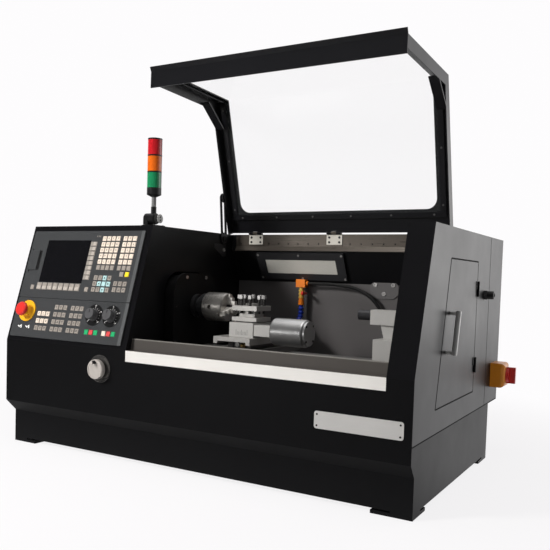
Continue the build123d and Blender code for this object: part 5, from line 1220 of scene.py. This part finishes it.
    def spot(self, p: float, q: float, n: float) -> Matrix:
        """A frame on the panels, with its Z axis out of them and its X axis to the right.

        Args:
            p: millimetres from the left end.
            q: millimetres up the slope.
            n: millimetres out of the slope.

        Returns:
            The frame as a matrix.
        """
        return MeshShop.frame_at(self.on(p, q, n), self.out, RIGHT)

    def legends(self) -> None:
        """Draw plain letters, figures and bars on the keys, and the marks below the stop."""
        key, pitch = self.key_size, self.key_pitch
        face = self.plate + self.key_height + self.ink
        words = []
        blocks = ((self.letter_keys, self.letters, 4), (self.digit_keys, self.digits, 3))
        for texts, centre, columns in blocks:
            for text, (p, q, _, _) in zip(texts, self.grid(centre, columns, 6, key, pitch)):
                words.append((text, self.spot(p, q, face), self.letter_height))
        self.meshes.lettering("key_letters", words, INK_DARK, "cabinet")
        bars = Repeat()
        rows = [spot for group in self.mode_keys() for spot in group]
        rows += self.grid(self.page, 3, 2, key, pitch)
        cursor = self.grid(self.cursor, 4, 3, key, pitch)
        rows += [spot for i, spot in enumerate(cursor) if i not in self.arrow_keys]
        for index, (p, q, _, _) in enumerate(rows):
            for lift, wide in ((2.0, 5.0 + index % 3), (-1.6, 3.0 + (index * 2) % 5)):
                size = Vector((wide / 1000, 0.0014, 0.0001))
                bars.add(self.on(p, q + lift, face - self.ink), self.out, RIGHT, size)
        tree = self.repeats.cap_tree()
        self.repeats.stand("key_bars", bars, tree, {"Taper": 1.0}, INK_DARK, "cabinet")
        marks = Repeat()
        bar, foot = Vector((9.0, 2.6, self.film)) / 1000, Vector((4.0, 6.0, self.film)) / 1000
        for p in self.stop_marks:
            for shift, tilt in ((-4.0, -0.6), (3.0, 0.5)):
                along = Vector((math.cos(tilt), 0, 0)) + self.up * math.sin(tilt)
                spot = self.on(p + shift, self.stop_mark_level + 2 * tilt, self.plate)
                marks.add(spot, self.out, along, bar)
            marks.add(self.on(p + 6.0, self.stop_mark_level - 2.5, self.plate), self.out, RIGHT, foot)
        self.repeats.stand("stop_marks", marks, tree, {"Taper": 1.0}, INK_WHITE, "cabinet")

    def dials(self) -> None:
        """Lay the dark dials under the override knobs, with their marks and figures."""
        bm = bmesh.new()
        left, right, q = self.dials_at
        rim, hub, thick = self.dial_radius / 1000, self.dial_hub / 1000, self.film / 1000
        level = self.plate + self.dial_lift
        for p in (left, right):
            profile = [(hub, 0.0), (rim, 0.0), (rim, thick), (hub, thick)]
            self.meshes.turned(bm, profile, self.spot(p, q, level), 48)
        self.meshes.piece("dial_faces", bm, BLACK_PLASTIC, "cabinet")
        marks = Repeat()
        words = []
        for p, top in zip((left, right), self.dial_tops):
            for step in range(self.dial_steps):
                turn = math.radians(self.dial_start - step * self.dial_pitch)
                ray = Vector((math.cos(turn), 0, 0)) + self.up * math.sin(turn)
                long = self.mark_lengths[0] if step % 3 == 0 else self.mark_lengths[1]
                place = self.on(p, q, level + self.film) + ray * ((self.mark_reach + long / 2) / 1000)
                marks.add(place, self.out, ray, Vector((long / 1000, 0.001, 0.0001)))
                if step % 3 == 0:
                    figure = self.on(p, q, level + 0.26) + ray * (self.figure_reach / 1000)
                    place = MeshShop.frame_at(figure, self.out, RIGHT)
                    words.append((str(top * step // (self.dial_steps - 1)), place, self.figure_height))
        self.repeats.stand("dial_marks", marks, self.repeats.cap_tree(), {"Taper": 1.0}, INK_WHITE, "cabinet")
        self.meshes.lettering("dial_figures", words, INK_WHITE, "cabinet")
        for body, p in (("spindle_override", left), ("feed_override", right)):
            pointer = bmesh.new()
            self.meshes.block(pointer, Vector((-0.0008, 0.004, 0.0)), Vector((0.0008, 0.0125, 0.0003)),
                              self.spot(p, q, self.knob_top))
            self.meshes.piece(f"{body}_pointer", pointer, BLACK_PLASTIC, body)

    def edges(self) -> None:
        """Lay a flat pale strip down each panel's right edge as painted sheen of its bevel, and set its lamps
        and the flap's finger groove as a dark film of painted shade.
        """
        for name, (low, high) in (("upper", self.upper), ("lower", self.lower)):
            bm = bmesh.new()
            place = self.spot(self.panel_right - self.rim_wide / 2, (low + high) / 2, self.plate)
            half = Vector((self.rim_wide / 2000, (high - low) / 2000 - 0.0005, 0.0))
            # The strip's pale colour is painted sheen for the light on the bevel.
            self.meshes.block(bm, -half, half + Vector((0, 0, 0.0006)), place)
            self.meshes.piece(f"{name}_panel_edge_sheen", bm, PANEL_EDGE_SHEEN, "cabinet", bevel=0.0003)
        lamps = Repeat()
        first, gap, q = self.panel_lamps
        for step in range(3):
            spot = self.on(first + gap * step, q, self.plate)
            lamps.add(spot, self.out, RIGHT, Vector((0.0018, 0.005, 0.0004)))
        self.repeats.stand("panel_lamps", lamps, self.repeats.cap_tree(), {"Taper": 0.8}, KEY_GREY, "cabinet")
        # The finger groove is drawn as a flat dark film on the flap: painted shade of the recess.
        groove = bmesh.new()
        p, low, high = self.flap
        shift, wide, corner = self.groove_size
        place = self.spot(p + shift, (low + high) / 2, self.plate)
        self.meshes.rounded_plate(groove, place, wide / 1000, (high - low) / 1000, corner / 1000,
                                  self.film / 1000)
        self.meshes.piece("flap_groove", groove, BLACK_PLASTIC, "cabinet")

    def build(self) -> None:
        """Build the panels' pieces."""
        self.keys()
        self.legends()
        self.dials()
        self.edges()


@dataclass
class CabinetTrim:
    """The bare nameplate, the handwheel's ring and crank, the right side, the screws and the tower's cap."""

    meshes: MeshShop
    repeats: RepeatShop
    plate_left: float = 996.0
    plate_right: float = 1202.0
    plate_bottom: float = 172.0
    plate_top: float = 211.0
    wheel: tuple[float, float] = (364.0, 245.0)
    wheel_seat: float = 3.0
    wheel_front: float = 22.4
    crank: float = 19.0
    side: float = 1220.0
    side_lines: tuple[tuple[tuple[float, float], tuple[float, float], float], ...] = (
        ((153.5, 215.5), (487.5, 215.5), 3.0), ((487.5, 215.5), (487.5, 557.5), 3.0),
        ((487.5, 557.5), (232.8, 557.5), 3.0), ((232.0, 557.5), (152.7, 215.5), 5.0),
        ((623.0, 160.0), (623.0, 629.0), 3.0), ((0.5, 159.8), (775.5, 159.8), 3.0),
    )
    grip: tuple[tuple[float, float], tuple[float, float]] = ((216.3, 334.2), (240.0, 435.8))
    grip_posts: tuple[tuple[float, float], ...] = ((217.66, 340.0), (238.64, 430.0))
    grip_out: float = 20.0
    grip_radius: float = 0.0062
    seam_thick: float = 0.00015
    back: float = 776.4
    back_columns: tuple[float, ...] = (20.0, 315.0, 610.0, 905.0, 1200.0)
    back_rows: tuple[float, float] = (176.0, 612.0)
    back_middle: float = 394.0
    tower: Point = (404.0, 156.0, 634.5)
    tower_foot: tuple[float, float] = (18.0, 18.5)
    tower_pivot: float = 652.0
    rivet_inset: float = 0.007

    def nameplate(self) -> None:
        """Rivet a bare brushed plate to the apron."""
        out = -BACK
        middle = at((self.plate_left + self.plate_right) / 2, 0, (self.plate_bottom + self.plate_top) / 2)
        wide = (self.plate_right - self.plate_left) / 1000
        tall = (self.plate_top - self.plate_bottom) / 1000
        bm = bmesh.new()
        place = MeshShop.frame_at(middle, out, RIGHT)
        self.meshes.rounded_plate(bm, place, wide, tall, 0.006, 0.0012)
        self.meshes.piece("nameplate", bm, PLATE, "cabinet", bevel=0.0003)
        inset = self.rivet_inset
        rivets = [
            (middle + Vector((side * (wide / 2 - inset), -0.0014, level * (tall / 2 - inset))), out)
            for side in (-1, 1) for level in (-1, 1)
        ]
        self.repeats.screws("nameplate_rivets", rivets, 0.0022, 0.0012, "cabinet")

    def handwheel(self) -> None:
        """Ring the pulse handwheel's seat with dark chrome and sleeve its crank."""
        out = -BACK
        seat = MeshShop.frame_at(at(self.wheel[0], -self.wheel_seat, self.wheel[1]), out)
        bm = bmesh.new()
        ring = [(0.0372, -0.003), (0.0372, 0.0), (0.0366, 0.0006), (0.0345, 0.0006), (0.034, 0.0002),
                (0.0, 0.0002)]
        self.meshes.turned(bm, ring, seat, 64)
        self.meshes.piece("wheel_bezel", bm, CHROME_DARK, "cabinet")
        bm = bmesh.new()
        crank = MeshShop.frame_at(at(self.wheel[0], -self.wheel_front, self.wheel[1] + self.crank), out)
        sleeve = [(0.0, 0.0), (0.0052, 0.0), (0.0052, 0.001), (0.0047, 0.0016), (0.0047, 0.0112),
                  (0.0042, 0.012), (0.0, 0.012)]
        self.meshes.turned(bm, sleeve, crank, 24)
        self.meshes.piece("wheel_crank", bm, BLACKENED, "pulse_wheel")

    def right_side(self) -> None:
        """Draw the dark seams of the right side and sleeve the door's handle."""
        out = RIGHT
        bm = bmesh.new()
        for first, second, wide in self.side_lines:
            start, end = at(self.side, *first), at(self.side, *second)
            half = Vector(((end - start).length / 2, wide / 2000, 0.0))
            place = MeshShop.frame_at((start + end) / 2, out, end - start)
            self.meshes.block(bm, -half, half + UP * self.seam_thick, place)
        self.meshes.piece("side_seams", bm, SEAM, "cabinet")
        bm = bmesh.new()
        low, high = (at(self.side + self.grip_out, *spot) for spot in self.grip)
        length = (high - low).length
        rim, end, chamfer = self.grip_radius, self.grip_radius - 0.0012, 0.0012
        profile = [(0.0, 0.0), (end, 0.0), (rim, chamfer), (rim, length - chamfer), (end, length),
                   (0.0, length)]
        self.meshes.turned(bm, profile, MeshShop.frame_at(low, high - low), 28)
        for place in self.grip_posts:
            foot = MeshShop.frame_at(at(self.side, *place), out)
            post = [(0.0, 0.0003), (0.0044, 0.0003), (0.0044, 0.0195), (0.0, 0.0195)]
            self.meshes.turned(bm, post, foot, 20)
        self.meshes.piece("door_grip", bm, SATIN_ALLOY, "side_door")

    def rear(self) -> None:
        """Screw the rear cabinet's back on and the tower's foot down."""
        screws = [(at(x, self.back, z), BACK) for x in self.back_columns for z in self.back_rows]
        screws += [(at(x, self.back, self.back_middle), BACK) for x in self.back_columns[::4]]
        self.repeats.screws("rear_screws", screws, 0.004, 0.0016, "cabinet", BLACKENED)
        x, y, z = self.tower
        wide, deep = self.tower_foot
        feet = [(at(x + side * wide, y + end * deep, z), UP) for side in (-1, 1) for end in (-1, 1)]
        self.repeats.screws("tower_foot_screws", feet, 0.0026, 0.0016, "cabinet")

    def tower_cap(self) -> None:
        """Set the pale cap on the end of the tower's pivot."""
        _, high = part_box("tower_mount")
        middle = Vector((high.x, FRONT + self.tower[1] / 1000, self.tower_pivot / 1000))
        bm = bmesh.new()
        place = MeshShop.frame_at(middle, RIGHT)
        cap = [(0.0125, 0.0), (0.0125, 0.0004), (0.0115, 0.0008), (0.0, 0.0008)]
        self.meshes.turned(bm, cap, place, 40)
        self.meshes.piece("tower_cap", bm, INK_WHITE, "cabinet")
        holes = [(middle + Vector((0.0009, 0, level * 0.0045)), RIGHT) for level in (-1, 1)]
        self.repeats.screws("tower_cap_screws", holes, 0.0024, 0.0008, "cabinet", BLACKENED)

    def build(self) -> None:
        """Build the cabinet's trim."""
        self.nameplate()
        self.handwheel()
        self.right_side()
        self.rear()
        self.tower_cap()


@dataclass
class GuardTrim:
    """Strips and screws that hold the guard's clear sheet, the hinges' faces and the stay's bracket."""

    meshes: MeshShop
    repeats: RepeatShop
    hinge: tuple[float, float] = (482.0, 634.0)
    lean: float = 15.6
    bend: float = 107.0
    main: float = 398.0
    visor: float = 305.0
    left: float = 458.0
    right: float = 1152.0
    start: float = 42.0
    pitch: float = 265.0
    leaf: tuple[float, float, float] = (485.0, 600.0, 633.0)
    strip_level: float = 7.0
    strip_thick: float = 2.0
    strip_wide: float = 16.0
    strip_inset: float = 14.0
    foot_margin: float = 33.0
    side_margin: float = 16.0
    leaf_wide: float = 49.6
    leaf_screws: tuple[float, tuple[float, float]] = (16.0, (607.0, 621.0))
    bracket_thick: float = 0.8
    bracket_side: float = 449.0
    bracket_outline: tuple[tuple[float, float], ...] = (
        (390.0, 598.0), (455.0, 598.0), (455.0, 562.0), (440.0, 558.0), (390.0, 586.0),
    )
    bracket_screw: tuple[float, float] = (444.0, 580.0)

    def run(self, visor: bool) -> tuple[Vector, Vector, Vector]:
        """Origin, direction and inward normal of one of the guard's two faces.

        Args:
            visor: whether it is the front face beyond the bend.

        Returns:
            The face's origin, its direction and its inward normal.
        """
        angle = math.radians(90 + self.lean)
        along = Vector((0, math.cos(angle), math.sin(angle)))
        origin = at(0, *self.hinge)
        if visor:
            origin = origin + along * (self.main / 1000)
            angle += math.radians(180 - self.bend)
            along = Vector((0, math.cos(angle), math.sin(angle)))
        inward = Vector((0, math.cos(angle + math.pi / 2), math.sin(angle + math.pi / 2)))
        return origin, along, inward

    def strips(self) -> None:
        """Lay the clamp strips over the edges of the clear sheet and screw them down."""
        bm = bmesh.new()
        screws: list[tuple[Vector, Vector]] = []

        def strip(visor: bool, x0: float, x1: float, u0: float, u1: float, count: int, margin: float) -> None:
            """One strip between two ends, with its screws along its longer side.

            Args:
                visor: whether it lies on the front face beyond the bend.
                x0: its left end.
                x1: its right end.
                u0: its lower end along the face.
                u1: its upper end along the face.
                count: number of its screws.
                margin: distance from its ends to the first and last screw.
            """
            origin, along, inward = self.run(visor)
            middle = origin + along * ((u0 + u1) / 2000) + inward * (self.strip_level / 1000)
            middle.x = LEFT + (x0 + x1) / 2000
            place = MeshShop.frame_at(middle, inward, RIGHT)
            half = Vector(((x1 - x0) / 2000, (u1 - u0) / 2000, 0.0))
            self.meshes.block(bm, -half, half + Vector((0, 0, self.strip_thick / 1000)), place)
            for step in range(count):
                share = step / (count - 1) - 0.5
                reach = share * (max(x1 - x0, u1 - u0) - 2 * margin) / 1000
                spot = Vector((reach, 0, 0)) if x1 - x0 > u1 - u0 else along * reach
                screws.append((middle + spot + inward * ((self.strip_thick + 0.5) / 1000), inward))

        inner_left, inner_right = self.left + self.strip_inset, self.right - self.strip_inset
        wide = self.strip_wide
        strip(False, inner_left, inner_right, self.start, self.start + wide, 6, self.foot_margin)
        for x0 in (inner_left, inner_right - wide):
            strip(False, x0, x0 + wide, self.start + wide + 1.0, self.main - 12.0, 3,
                  self.side_margin)
            strip(True, x0, x0 + wide, 12.0, self.visor - 8.0, 3, self.side_margin)
        self.meshes.piece("pane_strips", bm, GUARD_BLACK, "guard", bevel=0.0005)
        self.repeats.screws("pane_screws", screws, 0.0028, 0.0014, "guard", DULL_SCREW)

    def hinges(self) -> None:
        """Face the hinge leaves with bright plates and screw them down."""
        out = -BACK
        front, low, high = self.leaf
        middle = (self.left + self.right) / 2
        bm = bmesh.new()
        screws = []
        for step in (-1, 0, 1):
            x = middle + step * self.pitch
            place = MeshShop.frame_at(at(x, front, (low + high) / 2), out, RIGHT)
            self.meshes.rounded_plate(bm, place, self.leaf_wide / 1000, (high - low) / 1000, 0.002, 0.0004)
            reach, levels = self.leaf_screws
            screws += [(at(x + side * reach, front - 0.8, z), out) for side in (-1, 1) for z in levels]
        self.meshes.piece("hinge_leaves", bm, LEAF_BRIGHT, "cabinet")
        self.repeats.screws("hinge_screws", screws, 0.0034, 0.0012, "cabinet", BLACKENED)

    def bracket(self) -> None:
        """Plate the stay's lower pivot to the housing's side and screw it down."""
        out = RIGHT
        bm = bmesh.new()
        low = [bm.verts.new(at(self.bracket_side, y, z)) for y, z in self.bracket_outline]
        high = [bm.verts.new(vert.co + out * (self.bracket_thick / 1000)) for vert in low]
        bm.faces.new(low)
        bm.faces.new(high[::-1])
        for step in range(len(low)):
            after = (step + 1) % len(low)
            bm.faces.new((low[step], low[after], high[after], high[step]))
        self.meshes.piece("stay_bracket", bm, LAMP_FRAME, "cabinet")
        screws = [(at(self.bracket_side + 1.4, *self.bracket_screw), out)]
        self.repeats.screws("stay_bracket_screw", screws, 0.0055, 0.0014, "cabinet")

    def build(self) -> None:
        """Build the guard's trim."""
        self.strips()
        self.hinges()
        self.bracket()


@dataclass
class ChamberTrim:
    """Screws and small fittings of the work chamber."""

    meshes: MeshShop
    repeats: RepeatShop
    soffit: tuple[float, float, float, float] = (489.0, 578.0, 537.0, 488.0)
    lamp_x: float = 688.0
    lamp_reach: tuple[float, float] = (0.14, 0.038)
    axis_y: float = 262.0
    cover_face: float = 480.6
    bracket: Point = (945.0, 534.0, 474.0)
    bracket_size: tuple[float, float] = (0.086, 0.052)
    bracket_bolts: tuple[tuple[float, float], ...] = ((918.0, 488.0), (945.0, 462.0), (972.0, 488.0))
    scale_start: Point = (690.0, 150.0, 349.0)
    scale_pitch: float = 4.2
    motor_cap: Point = (893.5, 169.5, 363.0)
    motor_bolts: float = 0.0265
    oil_fitting: Point = (710.0, 160.0, 322.0)
    oil_tube: Point = (712.0, 152.0, 306.0)
    drain: Point = (1090.0, 470.0, 160.0)
    drain_radius: float = 20.0

    def lamp(self) -> None:
        """Screw the work light's bezel on."""
        y0, z0, y1, z1 = self.soffit
        wide, tall = self.lamp_reach
        down = Vector((0, y1 - y0, z1 - z0)).normalized()
        out = Vector((0, z1 - z0, y0 - y1)).normalized()
        middle = at(self.lamp_x, (y0 + y1) / 2, (z0 + z1) / 2) + out * 0.0085 - down * 0.005
        screws = [
            (middle + Vector((side * wide, 0, 0)) + down * (level * tall), out)
            for side in (-1, 0, 1) for level in (-1, 1)
        ]
        self.repeats.screws("lamp_screws", screws, 0.0034, 0.0014, "cabinet")

    def headstock(self) -> None:
        """Screw the headstock's cover on, and the bracket plate to the wall."""
        out = RIGHT
        screws = [(at(self.cover_face, self.axis_y + side * 46, 493), out) for side in (-1, 1)]
        screws += [(at(self.cover_face, self.axis_y - 92, z), out) for z in (411, 312)]
        self.repeats.screws("headstock_screws", screws, 0.005, 0.002, "cabinet")
        front = -BACK
        bm = bmesh.new()
        place = MeshShop.frame_at(at(*self.bracket), front, RIGHT)
        self.meshes.rounded_plate(bm, place, *self.bracket_size, 0.014, 0.0004, 1)
        self.meshes.piece("bracket_face", bm, BRACKET_GREY, "cabinet")
        bolts = [(at(x, self.bracket[1] - 1.0, z), front) for x, z in self.bracket_bolts]
        self.repeats.screws("bracket_bolts", bolts, 0.006, 0.003, "cabinet")

    def turret(self) -> None:
        """Put the graduations on the turret's base and the screws on its motor."""
        lines = Repeat()
        x, y, z = self.scale_start
        for step in range(9):
            tall = 0.014 if step % 4 == 0 else 0.009
            spot = at(x + step * self.scale_pitch, y, z + tall * 500)
            lines.add(spot, -BACK, RIGHT, Vector((0.0008, tall, 0.0001)))
        tree = self.repeats.cap_tree()
        self.repeats.stand("turret_scale", lines, tree, {"Taper": 1.0}, INK_DARK, "cross_slide")
        cap, reach = at(*self.motor_cap), self.motor_bolts
        screws = [
            (cap + Vector((0, reach * math.cos(turn), reach * math.sin(turn))), RIGHT)
            for turn in (math.pi / 4 + quarter * math.pi / 2 for quarter in range(4))
        ]
        self.repeats.screws("turret_motor_screws", screws, 0.003, 0.0016, "cross_slide")

    def carriage(self) -> None:
        """Set the brass oil fitting and its tube on the front of the saddle."""
        bm = bmesh.new()
        place = MeshShop.frame_at(at(*self.oil_fitting), -BACK)
        profile = [(0.0065, 0.0), (0.0065, 0.006), (0.005, 0.007), (0.005, 0.013), (0.003, 0.0145),
                   (0.0, 0.0145)]
        self.meshes.turned(bm, profile, place, 6)
        self.meshes.piece("oil_fitting", bm, BRASS, "carriage")
        bm = bmesh.new()
        place = MeshShop.frame_at(at(*self.oil_tube), RIGHT)
        tube = [(0.0, 0.0), (0.0055, 0.0), (0.006, 0.001), (0.006, 0.05), (0.004, 0.052), (0.0, 0.052)]
        self.meshes.turned(bm, tube, place, 20)
        self.meshes.piece("oil_tube", bm, SATIN_ALLOY, "carriage", smooth=True)

    def sieve(self) -> None:
        """Lay a low sieve over the tray's drain."""
        middle = at(*self.drain)
        rim = self.drain_radius / 1000
        bm = bmesh.new()
        profile = [(0.0, 0.0), (rim, 0.0), (rim, 0.0008), (rim - 0.001, 0.0014), (0.0, 0.0018)]
        self.meshes.turned(bm, profile, MeshShop.frame_at(middle, UP), 40)
        self.meshes.piece("drain_sieve", bm, BLACKENED, "cabinet")
        # The sieve's holes are drawn as dark rubber discs: painted shade of the openings.
        holes = [
            (middle + Vector((reach * math.cos(turn), reach * math.sin(turn), 0.0016)), UP)
            for reach, count in ((0.006, 6), (0.012, 12))
            for turn in (2 * math.pi * step / count for step in range(count))
        ]
        self.repeats.screws("drain_sieve_holes", holes, 0.0016, 0.0008, "cabinet", RUBBER)

    def build(self) -> None:
        """Build the chamber's trim."""
        self.lamp()
        self.headstock()
        self.turret()
        self.carriage()
        self.sieve()


def main() -> None:
    """Dress the machine and set up the studio."""
    groups = GroupShop()
    finishes = FinishShop(groups)
    meshes = MeshShop(finishes)
    repeats = RepeatShop(finishes)
    dress_nodes(finishes)
    Studio().build()
    for part in (ControlPanels, CabinetTrim, GuardTrim, ChamberTrim):
        part(meshes, repeats).build()
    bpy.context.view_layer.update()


if __name__ == "__main__":
    main()
